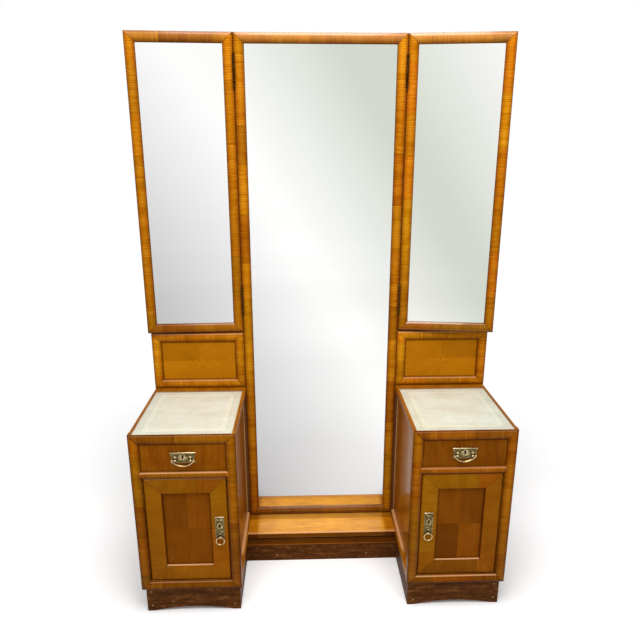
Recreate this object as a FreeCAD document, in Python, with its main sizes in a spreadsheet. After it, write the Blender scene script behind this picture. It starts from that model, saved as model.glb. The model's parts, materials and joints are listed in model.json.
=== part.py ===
import FreeCAD, Part
import math
import os
import Sketcher

# Triple-mirror dressing table: a tall fixed mirror between two pedestals, with a hinged wing mirror on
# each side. X runs along the width, the front faces -Y, and Z is up from the floor. The origin is on the
# floor, midway across the width and midway through the depth of the pedestals.

# Driving dimensions, in millimetres, and the angles of the wings, in degrees.
SIZES = {
    # mirrors and their cushion mouldings
    "overall_height": 1800,
    "mirror_width": 535,
    "frame_member": 32,
    "frame_depth": 20,
    "crown": 5,
    "rebate": 7,
    "glass_setback": 8,
    "glass_thick": 4,
    "backing_thick": 4,
    "wing_width": 325,
    "wing_clearance": 5,
    "wing_gap": 1.4,
    "left_wing_angle": 2.3,
    "right_wing_angle": 6.9,
    # lift-off hinges of the wings
    "hinge_length": 100,
    "hinge_offset": 60,
    "hinge_radius": 4,
    "hinge_set": 2,
    "hinge_pin_radius": 2,
    "hinge_leaf_thick": 0.6,
    "hinge_leaf_depth": 20,
    "hinge_cap": 6,
    "knuckle_gap": 0.4,
    "running_clearance": 0.05,
    # pedestals
    "pedestal_width": 320,
    "pedestal_depth": 381,
    "pedestal_height": 644,
    "plinth_height": 97,
    "face_depth": 26,
    "mid_rail": 24,
    "drawer_opening_height": 90,
    "side_recess": 13,
    "side_thick": 12,
    "back_panel_thick": 12,
    "top_thick": 20,
    "top_round": 4,
    "bottom_thick": 18,
    "divider_thick": 12,
    "cupboard_shelf_height": 300,
    "cupboard_shelf_thick": 14,
    "cupboard_shelf_setback": 60,
    "bearer": 12,
    # covered tops and backsplashes
    "top_rim": 9,
    "inset_back": 25,
    "inset_gap": 0.3,
    "leather_thick": 1.5,
    "top_glass_thick": 3.5,
    "backsplash_height": 203,
    "panel_thick": 6,
    # shelf and plinths
    "shelf_height": 120,
    "shelf_depth": 133,
    "shelf_thick": 26,
    "shelf_nose": 14,
    "apron_height": 26,
    "apron_thick": 18,
    "apron_setback": 6,
    "centre_plinth_setback": 8,
    "plinth_side_inset": 8,
    "plinth_front_inset": 22,
    "plinth_thick": 16,
    "plinth_arch": 14,
    "plinth_foot": 20,
    # drawers
    "face_setback": 7,
    "drawer_gap": 1,
    "drawer_front_thick": 19,
    "drawer_front_round": 2,
    "drawer_side_thick": 10,
    "drawer_side_height": 70,
    "drawer_side_inset": 3,
    "drawer_bottom_thick": 5,
    "drawer_bottom_lift": 6,
    "drawer_end_gap": 13,
    "runner_foot": 24,
    "guide_height": 18,
    "guide_clearance": 0.5,
    # doors
    "door_gap": 1.5,
    "door_thick": 22,
    "door_member": 53,
    "door_round": 6,
    "door_rebate": 8,
    "door_panel_setback": 8,
    "door_panel_thick": 8,
    "pivot_radius": 2.5,
    "pivot_reach": 9,
    "stop_width": 12,
    "stop_height": 90,
    "stop_lift": 40,
    "stop_clearance": 0.3,
    # drawer pulls
    "pull_width": 77,
    "pull_height": 34,
    "pull_lift": 29,
    "pull_waist": 3,
    "plate_thick": 2,
    "plate_lip": 1.6,
    "lip_over": 1,
    "pull_boss_width": 29,
    "pull_boss_height": 22,
    "boss_rise": 1.5,
    "keyhole_radius": 2.4,
    "keyhole_slot": 2.6,
    "keyhole_drop": 9,
    "pull_key_height": 19,
    "bail_half_span": 33,
    "bail_drop": 19,
    "bail_radius": 2.6,
    "bail_tip_radius": 2.8,
    "bail_pin_radius": 1.5,
    "bail_pivot_height": 9,
    "bail_eye_radius": 3.6,
    "bail_eye_width": 4,
    "bail_eye_spread": 23,
    # door plates and rings
    "escutcheon_width": 28,
    "escutcheon_height": 75,
    "escutcheon_inset": 27,
    "escutcheon_lift": 155,
    "door_key_height": 42,
    "door_boss_width": 20,
    "door_boss_height": 30,
    "ring_radius": 13,
    "ring_wire": 2.2,
    "ring_clearance": 0.4,
    "ring_eye_radius": 4.4,
    "ring_eye_width": 3,
    "ring_pivot_height": 4,
    # locks
    "lock_length": 46,
    "lock_breadth": 50,
    "lock_thick": 10,
    "lock_edge": 1,
    "bolt_length": 34,
    "bolt_breadth": 14,
    "bolt_thick": 5,
    "bolt_clearance": 0.3,
    "saw_over": 1,
}

doc = FreeCAD.newDocument("DressingTable")
sheet = doc.addObject("Spreadsheet::Sheet", "dims")
for row, (alias, number) in enumerate(SIZES.items(), start=1):
    sheet.set(f"A{row}", alias)
    sheet.set(f"B{row}", str(number))
    sheet.setAlias(f"B{row}", alias)
doc.recompute()


class Size:
    """A size that carries both its number and the sheet formula that the number comes from."""

    def __init__(self, number, formula):
        self.number = number
        self.formula = formula

    def __add__(self, other):
        other = as_size(other)
        return Size(self.number + other.number, f"({self.formula} + {other.formula})")

    def __sub__(self, other):
        other = as_size(other)
        return Size(self.number - other.number, f"({self.formula} - {other.formula})")

    def __mul__(self, factor):
        factor = as_size(factor)
        return Size(self.number * factor.number, f"({self.formula} * {factor.formula})")

    def __truediv__(self, divisor):
        divisor = as_size(divisor)
        return Size(self.number / divisor.number, f"({self.formula} / {divisor.formula})")

    def __radd__(self, other):
        return as_size(other) + self

    def __rsub__(self, other):
        return as_size(other) - self

    def __rmul__(self, factor):
        return as_size(factor) * self

    def __neg__(self):
        return 0 - self


def as_size(value):
    return value if isinstance(value, Size) else Size(float(value), f"({float(value)})")


class Driving:
    """The driving dimensions by name, as the sheet holds them."""


d = Driving()
for alias in SIZES:
    setattr(d, alias, Size(float(sheet.get(alias)), f"dims.{alias}"))

NODES = []


def node(label, obj):
    """Names a finished sub-part."""
    obj.Label = label
    NODES.append(obj)
    return obj


def bind(obj, prop, size):
    obj.setExpression(prop, as_size(size).formula)


def place(obj, x, y, z):
    for axis, size in zip("xyz", (x, y, z)):
        bind(obj, f"Placement.Base.{axis}", size)


def span(hand, near, far):
    """Two distances from the middle of the table, low end first, on the side that hand names."""
    return (near, far) if hand > 0 else (-far, -near)


def board(name, x, y, z):
    """A square-edged board between its low and high ends on each axis."""
    box = doc.addObject("Part::Box", name)
    for prop, (low, high) in zip(("Length", "Width", "Height"), (x, y, z)):
        bind(box, prop, high - low)
    place(box, x[0], y[0], z[0])
    return box


ALONG = {
    "x": FreeCAD.Rotation(FreeCAD.Vector(0, 1, 0), 90),
    "y": FreeCAD.Rotation(FreeCAD.Vector(1, 0, 0), -90),
    "z": FreeCAD.Rotation(),
}


def rod(name, axis, radius, ends, across):
    """A round bar along one axis, between two ends; across gives its place on the other two axes."""
    bar = doc.addObject("Part::Cylinder", name)
    bind(bar, "Radius", radius)
    bind(bar, "Height", ends[1] - ends[0])
    bar.Placement = FreeCAD.Placement(FreeCAD.Vector(), ALONG[axis])
    start = dict(zip("xyz".replace(axis, ""), across))
    start[axis] = ends[0]
    place(bar, start["x"], start["y"], start["z"])
    return bar


def fuse(name, *shapes):
    joined = doc.addObject("Part::MultiFuse", name)
    joined.Shapes = list(shapes)
    joined.Refine = True
    return joined


def cut(name, base, *tools):
    """Takes the tools out of the base, one after another."""
    for index, tool in enumerate(tools):
        last = index == len(tools) - 1
        left = doc.addObject("Part::Cut", name if last else f"{name}_cut{index}")
        left.Base = base
        left.Tool = tool
        base = left
    return base


def group(name, members):
    """Separate solids that make up one sub-part."""
    together = doc.addObject("Part::Compound", name)
    together.Links = list(members)
    return together


def plane_of(body, role):
    return next(feature for feature in body.Origin.OriginFeatures if feature.Role == role)


def outline(body, role, name, *loops):
    """A sketch of closed loops. A corner is (u, v), or (u, v, middle) where an arc runs on from it
    through the point middle to the next corner. Every corner is held at its size from the origin."""
    sketch = body.newObject("Sketcher::SketchObject", name)
    sketch.AttachmentSupport = (plane_of(body, role), [""])
    sketch.MapMode = "FlatFace"

    def vector(point):
        return FreeCAD.Vector(as_size(point[0]).number, as_size(point[1]).number, 0)

    def hold(geometry, end, point):
        for kind, size in zip(("DistanceX", "DistanceY"), point):
            size = as_size(size)
            index = sketch.addConstraint(
                Sketcher.Constraint(kind, -1, 1, geometry, end, size.number)
            )
            sketch.setExpression(f"Constraints[{index}]", size.formula)

    for corners in loops:
        edges = []
        for here, there in zip(corners, corners[1:] + corners[:1]):
            if len(here) == 2:
                edge = sketch.addGeometry(Part.LineSegment(vector(here), vector(there)))
                edges.append((edge, 1, 2))
                continue
            edge = sketch.addGeometry(Part.Arc(vector(here), vector(here[2]), vector(there)))
            starts_here = sketch.getPoint(edge, 1).distanceToPoint(vector(here)) < 1e-6
            edges.append((edge, 1, 2) if starts_here else (edge, 2, 1))
            middle = sketch.addGeometry(Part.Point(vector(here[2])), True)
            hold(middle, 1, here[2])
            sketch.addConstraint(Sketcher.Constraint("PointOnObject", middle, 1, edge))
        for (edge, start, end), (following, first, last) in zip(edges, edges[1:] + edges[:1]):
            sketch.addConstraint(Sketcher.Constraint("Coincident", edge, end, following, first))
        for (edge, start, end), corner in zip(edges, corners):
            hold(edge, start, corner[:2])
    return sketch


def prism(name, role, corners, low, high):
    """A bar or plate of one outline, padded from low to high square to an origin plane."""
    body = doc.addObject("PartDesign::Body", name)
    pad = body.newObject("PartDesign::Pad", f"{name}_pad")
    pad.Profile = outline(body, role, f"{name}_outline", corners)
    bind(pad, "Length", high - low)
    starts = {"XY_Plane": (0, 0, low), "YZ_Plane": (low, 0, 0), "XZ_Plane": (0, high, 0)}
    place(body, *starts[role])
    return body


def saw(body, *loops):
    """Cuts closed outlines, seen from the front, right through a body."""
    pocket = body.newObject("PartDesign::Pocket", f"{body.Name}_saw")
    pocket.Profile = outline(body, "XZ_Plane", f"{body.Name}_saw_outline", *loops)
    pocket.Type = "ThroughAll"
    pocket.SideType = "Symmetric"
    return body


def cushion(member, y, depth, rebate_y=None):
    """The crowned moulding of the frames, with a rebate behind its inner edge where rebate_y is given."""

    def section(edge, inward):
        inner = edge + inward * member
        crest = (edge + inward * member / 2, y)
        front = [(edge, y + d.crown, crest)]
        if rebate_y is None:
            return front + [(inner, y + d.crown), (inner, y + depth), (edge, y + depth)]
        ledge = inner - inward * d.rebate
        return front + [
            (inner, y + d.crown),
            (inner, rebate_y),
            (ledge, rebate_y),
            (ledge, y + depth),
            (edge, y + depth),
        ]

    return section


def across_rail(corners):
    """Turns a moulding's outline from an upright's plane to a rail's."""
    turned = []
    for corner in corners:
        point = (corner[1], corner[0])
        turned.append(point if len(corner) == 2 else (*point, (corner[2][1], corner[2][0])))
    return turned


def upright(name, section, edge, inward, z, member, notch=None):
    """One upright of a frame with mitred ends; notch is the height of a V cut for a cross rail."""
    height = z[1] - z[0]
    outer = edge - inward * d.saw_over
    inner = edge + inward * (member + d.saw_over)
    reach = member + d.saw_over
    cuts = [
        [(outer, -d.saw_over), (inner, -d.saw_over), (inner, reach)],
        [(outer, height + d.saw_over), (inner, height + d.saw_over), (inner, height - reach)],
    ]
    if notch:
        half = d.mid_rail / 2 + d.saw_over
        tip = edge + inward * (member - d.mid_rail / 2)
        middle = notch - z[0]
        cuts.append([(inner, middle - half), (tip, middle), (inner, middle + half)])
    return saw(prism(name, "XY_Plane", section(edge, inward), z[0], z[1]), *cuts)


def rail(name, section, edge, inward, x, member):
    """One top or bottom rail of a frame with mitred ends."""
    length = x[1] - x[0]
    outer = edge - inward * d.saw_over
    inner = edge + inward * (member + d.saw_over)
    reach = member + d.saw_over
    cuts = [
        [(-d.saw_over, outer), (-d.saw_over, inner), (reach, inner)],
        [(length + d.saw_over, outer), (length + d.saw_over, inner), (length - reach, inner)],
    ]
    return saw(prism(name, "YZ_Plane", across_rail(section(edge, inward)), x[0], x[1]), *cuts)


def mitred_frame(name, section, x, z, member, notch=None):
    """Two uprights and two rails of one moulding, meeting at mitres."""
    return [
        upright(f"{name}_upright_a", section, x[0], 1, z, member, notch),
        upright(f"{name}_upright_b", section, x[1], -1, z, member, notch),
        rail(f"{name}_rail_low", section, z[0], 1, x, member),
        rail(f"{name}_rail_top", section, z[1], -1, x, member),
    ]


def shrink(ends, by):
    return (ends[0] + by, ends[1] - by)


def key_slot(name, x, z, y):
    """The slot that a key passes through, cut down from the height z."""
    width = (x - d.keyhole_slot / 2, x + d.keyhole_slot / 2)
    return board(name, width, y, (z - d.keyhole_drop, z))


def keyhole(name, x, z, y):
    """A round hole with a slot below it, for the key."""
    hole = rod(f"{name}_hole", "y", d.keyhole_radius, y, (x, z))
    return fuse(name, hole, key_slot(f"{name}_slot", x, z, y))


# Planes and levels that the pieces share.
half = d.mirror_width / 2
back = d.pedestal_depth / 2
front = -back
mirror_y = back - d.frame_depth
glass_y = mirror_y + d.glass_setback
backing_y = glass_y + d.glass_thick
face_y = front + d.face_setback
face_back = front + d.face_depth
panel_back = back - d.back_panel_thick
top_z = d.pedestal_height
top_under = top_z - d.top_thick
open_top = top_z - d.frame_member
rail_top = open_top - d.drawer_opening_height
rail_low = rail_top - d.mid_rail
open_low = d.plinth_height + d.frame_member
wing_low = top_z + d.backsplash_height + d.wing_clearance
side_in = half + d.side_recess
side_face = side_in + d.side_thick
far = half + d.pedestal_width
far_side_in = far - d.side_recess
far_side_face = far_side_in - d.side_thick
open_near = half + d.frame_member
open_far = far - d.frame_member
middle = half + d.pedestal_width / 2


def mirror_glazing(name, x, z, y):
    """The glass and the backing board that share the rebate of a mirror frame."""
    in_rebate = d.frame_member - d.rebate
    x, z = shrink(x, in_rebate), shrink(z, in_rebate)
    glass = board(f"{name}_glass_sheet", x, (y, y + d.glass_thick), z)
    backing = board(
        f"{name}_backing_sheet",
        x,
        (y + d.glass_thick, y + d.glass_thick + d.backing_thick),
        z,
    )
    return glass, backing


# Centre mirror, standing on the shelf between the pedestals.
centre_x = (-half, half)
centre_z = (d.shelf_height, d.overall_height)
centre_section = cushion(d.frame_member, mirror_y, d.frame_depth, glass_y)
node(
    "centre_mirror_frame",
    group("centre_frame", mitred_frame("centre", centre_section, centre_x, centre_z, d.frame_member)),
)
centre_glass, centre_backing = mirror_glazing("centre", centre_x, centre_z, glass_y)
node("centre_mirror_glass", centre_glass)
node("centre_mirror_backboard", centre_backing)

# Shelf at the foot of the mirror, with a rounded nose, over an apron and a dark plinth.
shelf_front = back - d.shelf_depth
shelf_under = d.shelf_height - d.shelf_thick
nose_mid = d.shelf_nose * (1 - math.sqrt(0.5))
node(
    "centre_shelf",
    prism(
        "shelf",
        "YZ_Plane",
        [
            (back, shelf_under),
            (back, d.shelf_height),
            (shelf_front, d.shelf_height),
            (
                shelf_front,
                shelf_under + d.shelf_nose,
                (shelf_front + nose_mid, shelf_under + nose_mid),
            ),
            (shelf_front + d.shelf_nose, shelf_under),
        ],
        -half,
        half,
    ),
)
between_plinths = (-half - d.plinth_side_inset, half + d.plinth_side_inset)
apron_low = shelf_under - d.apron_height
apron_front = shelf_front + d.apron_setback
node(
    "shelf_apron",
    board("apron", between_plinths, (apron_front, apron_front + d.apron_thick), (apron_low, shelf_under)),
)
centre_plinth_front = shelf_front + d.centre_plinth_setback
node(
    "centre_plinth",
    board(
        "centre_plinth_board",
        between_plinths,
        (centre_plinth_front, centre_plinth_front + d.plinth_thick),
        (as_size(0), apron_low),
    ),
)


# Lift-off hinges of the wings: a lower knuckle on the fixed frame and an upper one on the wing, on a pin
# at the front of each seam.
knuckle = d.hinge_length / 2
hinge_y = mirror_y + d.crown - d.hinge_radius - d.hinge_set
hinge_lows = (
    wing_low + d.hinge_offset,
    d.overall_height - d.hinge_offset - d.hinge_length,
)


def hinge_leaf(name, side, x, y, low, level):
    """One leaf of a hinge: a plate on the edge of a frame, and a knuckle. The lower knuckle carries the
    pin, and the upper one is bored to drop over it."""
    plate_x = span(side, d.wing_gap / 2 - d.hinge_leaf_thick, d.wing_gap / 2)
    plate_x = (x + plate_x[0], x + plate_x[1])
    barrel_back = y + d.hinge_radius + d.knuckle_gap
    plate_y = (barrel_back, y + d.hinge_leaf_depth)
    plate = board(f"{name}_plate", plate_x, plate_y, (low, low + d.hinge_length))
    ends = shrink((low + level * knuckle, low + (level + 1) * knuckle), d.knuckle_gap / 2)
    barrel = rod(f"{name}_barrel", "z", d.hinge_radius, ends, (x, y))
    tab_front = y + (d.hinge_pin_radius + d.hinge_radius) / 2
    tab = board(f"{name}_tab", plate_x, (tab_front, barrel_back), ends)
    leaf = fuse(f"{name}_solid", plate, tab, barrel)
    pin_top = low + d.hinge_length - d.hinge_cap
    if level == 0:
        pin = rod(f"{name}_pin", "z", d.hinge_pin_radius, (ends[0], pin_top), (x, y))
        return fuse(name, leaf, pin)
    bore_ends = (low, pin_top + d.knuckle_gap)
    bore_radius = d.hinge_pin_radius + d.running_clearance
    return cut(name, leaf, rod(f"{name}_bore", "z", bore_radius, bore_ends, (x, y)))


def facets(sides, centre, radius):
    """Corners of a many-sided section, for thin wires and eyes."""
    turns = [math.tau * (step + 0.5) / sides for step in range(sides)]
    return [(centre[0] + radius * math.cos(t), centre[1] + radius * math.sin(t)) for t in turns]


def octagon_bar(name, radius, ends, across):
    """An eight-sided bar along X."""
    return prism(name, "YZ_Plane", facets(8, across, radius), *ends)


def bent_wire(name, bend_radius, wire_radius, angle):
    """A square wire bent to a circle about Y, or to an arc whose middle hangs straight down."""
    body = doc.addObject("PartDesign::Body", name)
    bend = body.newObject("PartDesign::Revolution", f"{name}_bend")
    section = facets(4, (bend_radius, as_size(0)), wire_radius)
    bend.Profile = outline(body, "XY_Plane", f"{name}_section", section)
    bend.ReferenceAxis = (bend.Profile[0], ["V_Axis"])
    bend.Midplane = True
    bind(bend, "Angle", angle)
    turn = FreeCAD.Rotation(FreeCAD.Vector(0, 1, 0), 90)
    body.Placement = FreeCAD.Placement(FreeCAD.Vector(), turn)
    return body


def boss(name, x, z, width, height, y):
    """A raised lozenge round a keyhole, with its points cut off."""
    across, tall = width / 2, height / 2
    corners = [
        (x - across, z - tall / 3),
        (x - across / 3, z - tall),
        (x + across / 3, z - tall),
        (x + across, z - tall / 3),
        (x + across, z + tall / 3),
        (x + across / 3, z + tall),
        (x - across / 3, z + tall),
        (x - across, z + tall / 3),
    ]
    return prism(name, "XZ_Plane", corners, *y)


def bail(name, x, y, z):
    """The curved drop handle with a pin at each end, hanging from the two eyes of the plate."""
    reach, drop = d.bail_half_span, d.bail_drop
    radius = (reach * reach + drop * drop) / (2 * drop)
    angle = Size(
        4 * math.degrees(math.atan2(drop.number, reach.number)),
        f"(4 * atan({drop.formula} / {reach.formula}))",
    )
    bow = bent_wire(f"{name}_bow", radius, d.bail_radius, angle)
    place(bow, x, y, z - drop + radius)
    pieces = [bow]
    for side in (-1, 1):
        inner = d.bail_eye_spread - d.bail_eye_width / 2
        pin_x = span(side, inner, reach)
        pin_x = (x + pin_x[0], x + pin_x[1])
        tip_x = (x + side * reach - d.bail_radius, x + side * reach + d.bail_radius)
        pieces.append(octagon_bar(f"{name}_pin{side + 1}", d.bail_pin_radius, pin_x, (y, z)))
        pieces.append(octagon_bar(f"{name}_tip{side + 1}", d.bail_tip_radius, tip_x, (y, z)))
    return fuse(name, *pieces)


def eye(name, x, width, radius, across, bore_radius):
    """An eye that stands on a plate, and the bore through it."""
    ends = (x - width / 2, x + width / 2)
    bore_ends = (ends[0] - d.saw_over, ends[1] + d.saw_over)
    post = octagon_bar(f"{name}_post", radius, ends, across)
    return post, rod(f"{name}_bore", "x", bore_radius, bore_ends, across)


def plate_lip(name, left, right, plate_front, high):
    ends = (left - d.lip_over, right + d.lip_over)
    return octagon_bar(name, d.plate_lip, ends, (plate_front, high - d.plate_lip / 2))


def pull_plate(name, x, z, pivot_y, pivot_z):
    """The waisted back plate of a drawer pull: a lip along its top, a boss round the keyhole and two
    eyes for the bail."""
    plate_front = face_y - d.plate_thick
    left, right = x - d.pull_width / 2, x + d.pull_width / 2
    low, high = z, z + d.pull_height
    waist = z + d.pull_height / 2
    plate = prism(
        f"{name}_plate",
        "XZ_Plane",
        [
            (left, low),
            (right, low, (right - d.pull_waist, waist)),
            (right, high),
            (left, high, (left + d.pull_waist, waist)),
        ],
        plate_front,
        face_y,
    )
    key_z = z + d.pull_key_height
    boss_y = (plate_front - d.boss_rise, face_y)
    raised = boss(f"{name}_boss", x, key_z, d.pull_boss_width, d.pull_boss_height, boss_y)
    pieces = [plate, plate_lip(f"{name}_lip", left, right, plate_front, high), raised]
    bores = []
    for side in (-1, 1):
        post, bore = eye(
            f"{name}_eye{side + 1}",
            x + side * d.bail_eye_spread,
            d.bail_eye_width,
            d.bail_eye_radius,
            (pivot_y, pivot_z),
            d.bail_pin_radius + d.running_clearance,
        )
        pieces.append(post)
        bores.append(bore)
    hole_y = (boss_y[0] - d.saw_over, boss_y[1] + d.saw_over)
    hole = keyhole(f"{name}_keyhole", x, key_z + d.keyhole_drop / 2, hole_y)
    return cut(name, fuse(f"{name}_solid", *pieces), hole, *bores)


def door_plate(name, x, z, pivot_y, pivot_z):
    """The long plate on a door: a lip along its top, a boss round the keyhole and an eye for the ring."""
    plate_front = face_y - d.plate_thick
    left, right = x - d.escutcheon_width / 2, x + d.escutcheon_width / 2
    high = z + d.escutcheon_height
    plate = board(f"{name}_plate", (left, right), (plate_front, face_y), (z, high))
    key_z = z + d.door_key_height
    boss_y = (plate_front - d.boss_rise, face_y)
    raised = boss(f"{name}_boss", x, key_z, d.door_boss_width, d.door_boss_height, boss_y)
    post, bore = eye(
        f"{name}_eye",
        x,
        d.ring_eye_width,
        d.ring_eye_radius,
        (pivot_y, pivot_z),
        d.ring_wire + d.ring_clearance,
    )
    pieces = [plate, plate_lip(f"{name}_lip", left, right, plate_front, high), raised, post]
    hole_y = (boss_y[0] - d.saw_over, boss_y[1] + d.saw_over)
    hole = keyhole(f"{name}_keyhole", x, key_z + d.keyhole_drop / 2, hole_y)
    return cut(name, fuse(f"{name}_solid", *pieces), hole, bore)


def lock_case(name, x, y, z, channel_x, channel_z):
    """A lock case with the channel that its bolt slides in."""
    case = board(f"{name}_box", x, y, z)
    bolt_y = bolt_depth(y)
    channel = board(
        f"{name}_channel",
        channel_x,
        (bolt_y[0] - d.bolt_clearance, bolt_y[1] + d.bolt_clearance),
        channel_z,
    )
    return cut(name, case, channel)


def bolt_depth(y):
    """The bolt's place in the thickness of its lock case."""
    centre = (y[0] + y[1]) / 2
    return (centre - d.bolt_thick / 2, centre + d.bolt_thick / 2)


fixed_leaves = []
side_panels, base_rails, bottoms, dividers, back_panels = [], [], [], [], []
runners, cupboard_shelves, bearers, pivots, stops = [], [], [], [], []
leathers, top_glasses, splash_panels, plinth_boards = [], [], [], []

for side, hand in (("left", -1), ("right", 1)):

    # Wing mirror, made beside its hinge axis and then swung forward to where it rests.
    hinge_x = hand * (half + d.wing_gap / 2)
    wing_x = span(hand, d.wing_gap / 2, d.wing_gap / 2 + d.wing_width)
    wing_z = (wing_low, d.overall_height)
    wing_crest = mirror_y - hinge_y
    wing_glass_y = wing_crest + d.glass_setback
    wing_angle = d.left_wing_angle if hand < 0 else d.right_wing_angle

    def swung(label, members):
        """A piece of the wing, turned about the hinge axis with the rest of the wing."""
        piece = node(label, group(f"{label}_swung", members))
        turn = FreeCAD.Rotation(FreeCAD.Vector(0, 0, 1), -hand * wing_angle.number)
        piece.Placement = FreeCAD.Placement(FreeCAD.Vector(), turn)
        place(piece, hinge_x, hinge_y, 0)

    wing_section = cushion(d.frame_member, wing_crest, d.frame_depth, wing_glass_y)
    swung(
        f"wing_frame_{side}",
        mitred_frame(f"wing_{side}", wing_section, wing_x, wing_z, d.frame_member),
    )
    wing_glass, wing_backing = mirror_glazing(f"wing_{side}", wing_x, wing_z, wing_glass_y)
    swung(f"wing_glass_{side}", [wing_glass])
    swung(f"wing_backboard_{side}", [wing_backing])
    moving_leaves = []
    origin = as_size(0)
    for index, low in enumerate(hinge_lows):
        name = f"hinge_{side}_{index}"
        fixed_leaves.append(hinge_leaf(f"{name}_fixed", -hand, hinge_x, hinge_y, low, 0))
        moving_leaves.append(hinge_leaf(f"{name}_moving", hand, origin, origin, low, 1))
    swung(f"wing_hinge_leaves_{side}", moving_leaves)

    # Backsplash at the back of the pedestal's top: a panel in a frame of the same moulding.
    pedestal_x = span(hand, half, far)
    splash_z = (top_z, top_z + d.backsplash_height)
    node(
        f"backsplash_frame_{side}",
        group(
            f"splash_frame_{side}",
            mitred_frame(f"splash_{side}", centre_section, pedestal_x, splash_z, d.frame_member),
        ),
    )
    in_rebate = d.frame_member - d.rebate
    splash_panels.append(
        board(
            f"splash_panel_{side}",
            shrink(pedestal_x, in_rebate),
            (glass_y, glass_y + d.panel_thick),
            shrink(splash_z, in_rebate),
        )
    )

    # Top board with rounded side edges, sunk for the leather and the glass over it. The same sinking
    # runs on over the top rail of the front.
    recess_x = shrink(pedestal_x, d.top_rim)
    recess_y = (front + d.top_rim, mirror_y - d.inset_back)
    recess_low = top_z - d.leather_thick - d.top_glass_thick
    recess = board(f"recess_{side}", recess_x, recess_y, (recess_low, top_z + d.saw_over))
    low_x, high_x = pedestal_x
    round_mid = d.top_round * (1 - math.sqrt(0.5))
    top_solid = prism(
        f"top_solid_{side}",
        "XZ_Plane",
        [
            (low_x, top_under),
            (high_x, top_under),
            (high_x, top_z - d.top_round, (high_x - round_mid, top_z - round_mid)),
            (high_x - d.top_round, top_z),
            (low_x + d.top_round, top_z, (low_x + round_mid, top_z - round_mid)),
            (low_x, top_z - d.top_round),
        ],
        face_back,
        back,
    )
    node(f"top_board_{side}", cut(f"top_sunk_{side}", top_solid, recess))
    sheet_x, sheet_y = shrink(recess_x, d.inset_gap), shrink(recess_y, d.inset_gap)
    leather_z = (recess_low, recess_low + d.leather_thick)
    leathers.append(board(f"leather_{side}", sheet_x, sheet_y, leather_z))
    top_glasses.append(board(f"top_glass_{side}", sheet_x, sheet_y, (leather_z[1], top_z)))

    # Front of the pedestal: mitred cushion frame, with a cross rail whose points enter the uprights.
    face_section = cushion(d.frame_member, front, d.face_depth)
    face_z = (d.plinth_height, top_z)
    rail_mid = (rail_low + rail_top) / 2
    rail_point = d.mid_rail / 2
    rail_x = span(hand, open_near - rail_point, open_far + rail_point)
    rail_length = rail_x[1] - rail_x[0]
    tall = rail_point + d.saw_over
    cross_section = cushion(d.mid_rail, front, d.face_depth)
    cross_rail = prism(
        f"cross_rail_{side}",
        "YZ_Plane",
        across_rail(cross_section(rail_low, 1)),
        rail_x[0],
        rail_x[1],
    )
    saw(
        cross_rail,
        [
            (as_size(0), rail_mid),
            (tall, rail_mid + tall),
            (-d.saw_over, rail_mid + tall),
            (-d.saw_over, rail_mid - tall),
            (tall, rail_mid - tall),
        ],
        [
            (rail_length, rail_mid),
            (rail_length - tall, rail_mid + tall),
            (rail_length + d.saw_over, rail_mid + tall),
            (rail_length + d.saw_over, rail_mid - tall),
            (rail_length - tall, rail_mid - tall),
        ],
    )
    face_members = mitred_frame(
        f"face_{side}", face_section, pedestal_x, face_z, d.frame_member, rail_mid
    )
    # The door turns on a pin in the cross rail and one in the bottom rail, at its outer front edge.
    door_x = span(hand, open_near + d.door_gap, open_far - d.door_gap)
    door_z = (open_low + d.door_gap, rail_low - d.door_gap)
    pivot_x = hand * (open_far - d.door_gap - d.door_round)
    pivot_y = face_y + d.door_round
    pin_spans = (
        (door_z[0] - d.pivot_reach, door_z[0] + d.pivot_reach),
        (door_z[1] - d.pivot_reach, door_z[1] + d.pivot_reach),
    )
    bores = []
    for index, ends in enumerate(pin_spans):
        name = f"pivot_{side}_{index}"
        bore_radius = d.pivot_radius + d.running_clearance
        bore_ends = (ends[0] - d.bolt_clearance, ends[1] + d.bolt_clearance)
        pivots.append(rod(name, "z", d.pivot_radius, ends, (pivot_x, pivot_y)))
        bores.append(rod(f"{name}_bore", "z", bore_radius, bore_ends, (pivot_x, pivot_y)))
    node(
        f"pedestal_face_{side}",
        cut(
            f"face_bored_{side}",
            group(f"face_members_{side}", [*face_members, cross_rail]),
            recess,
            *bores,
        ),
    )

    # Carcase behind the front: recessed side panels over cushion base rails, floor, dust board and back.
    inside_y = (face_back, panel_back)
    carcase_z = (d.plinth_height, top_under)
    panel_spans = ((side_in, side_face), (far_side_face, far_side_in))
    rail_spans = ((half, side_in), (far_side_in, far))
    for index, (panel_span, rail_span) in enumerate(zip(panel_spans, rail_spans)):
        panel_x, base_x = span(hand, *panel_span), span(hand, *rail_span)
        side_panels.append(board(f"side_panel_{side}_{index}", panel_x, inside_y, carcase_z))
        outward = hand * (1 if index else -1)
        crest_x = base_x[1] if outward > 0 else base_x[0]
        root_x = base_x[0] if outward > 0 else base_x[1]
        shoulder = crest_x - outward * d.crown
        base_rails.append(
            prism(
                f"base_rail_{side}_{index}",
                "XZ_Plane",
                [
                    (root_x, d.plinth_height),
                    (
                        shoulder,
                        d.plinth_height,
                        (crest_x, d.plinth_height + d.frame_member / 2),
                    ),
                    (shoulder, open_low),
                    (root_x, open_low),
                ],
                *inside_y,
            )
        )
    inside_x = span(hand, side_face, far_side_face)
    bottoms.append(board(f"bottom_{side}", inside_x, inside_y, (open_low - d.bottom_thick, open_low)))
    dividers.append(board(f"divider_{side}", inside_x, inside_y, (rail_low, rail_low + d.divider_thick)))
    back_panels.append(board(f"back_panel_{side}", pedestal_x, (panel_back, back), carcase_z))

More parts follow.
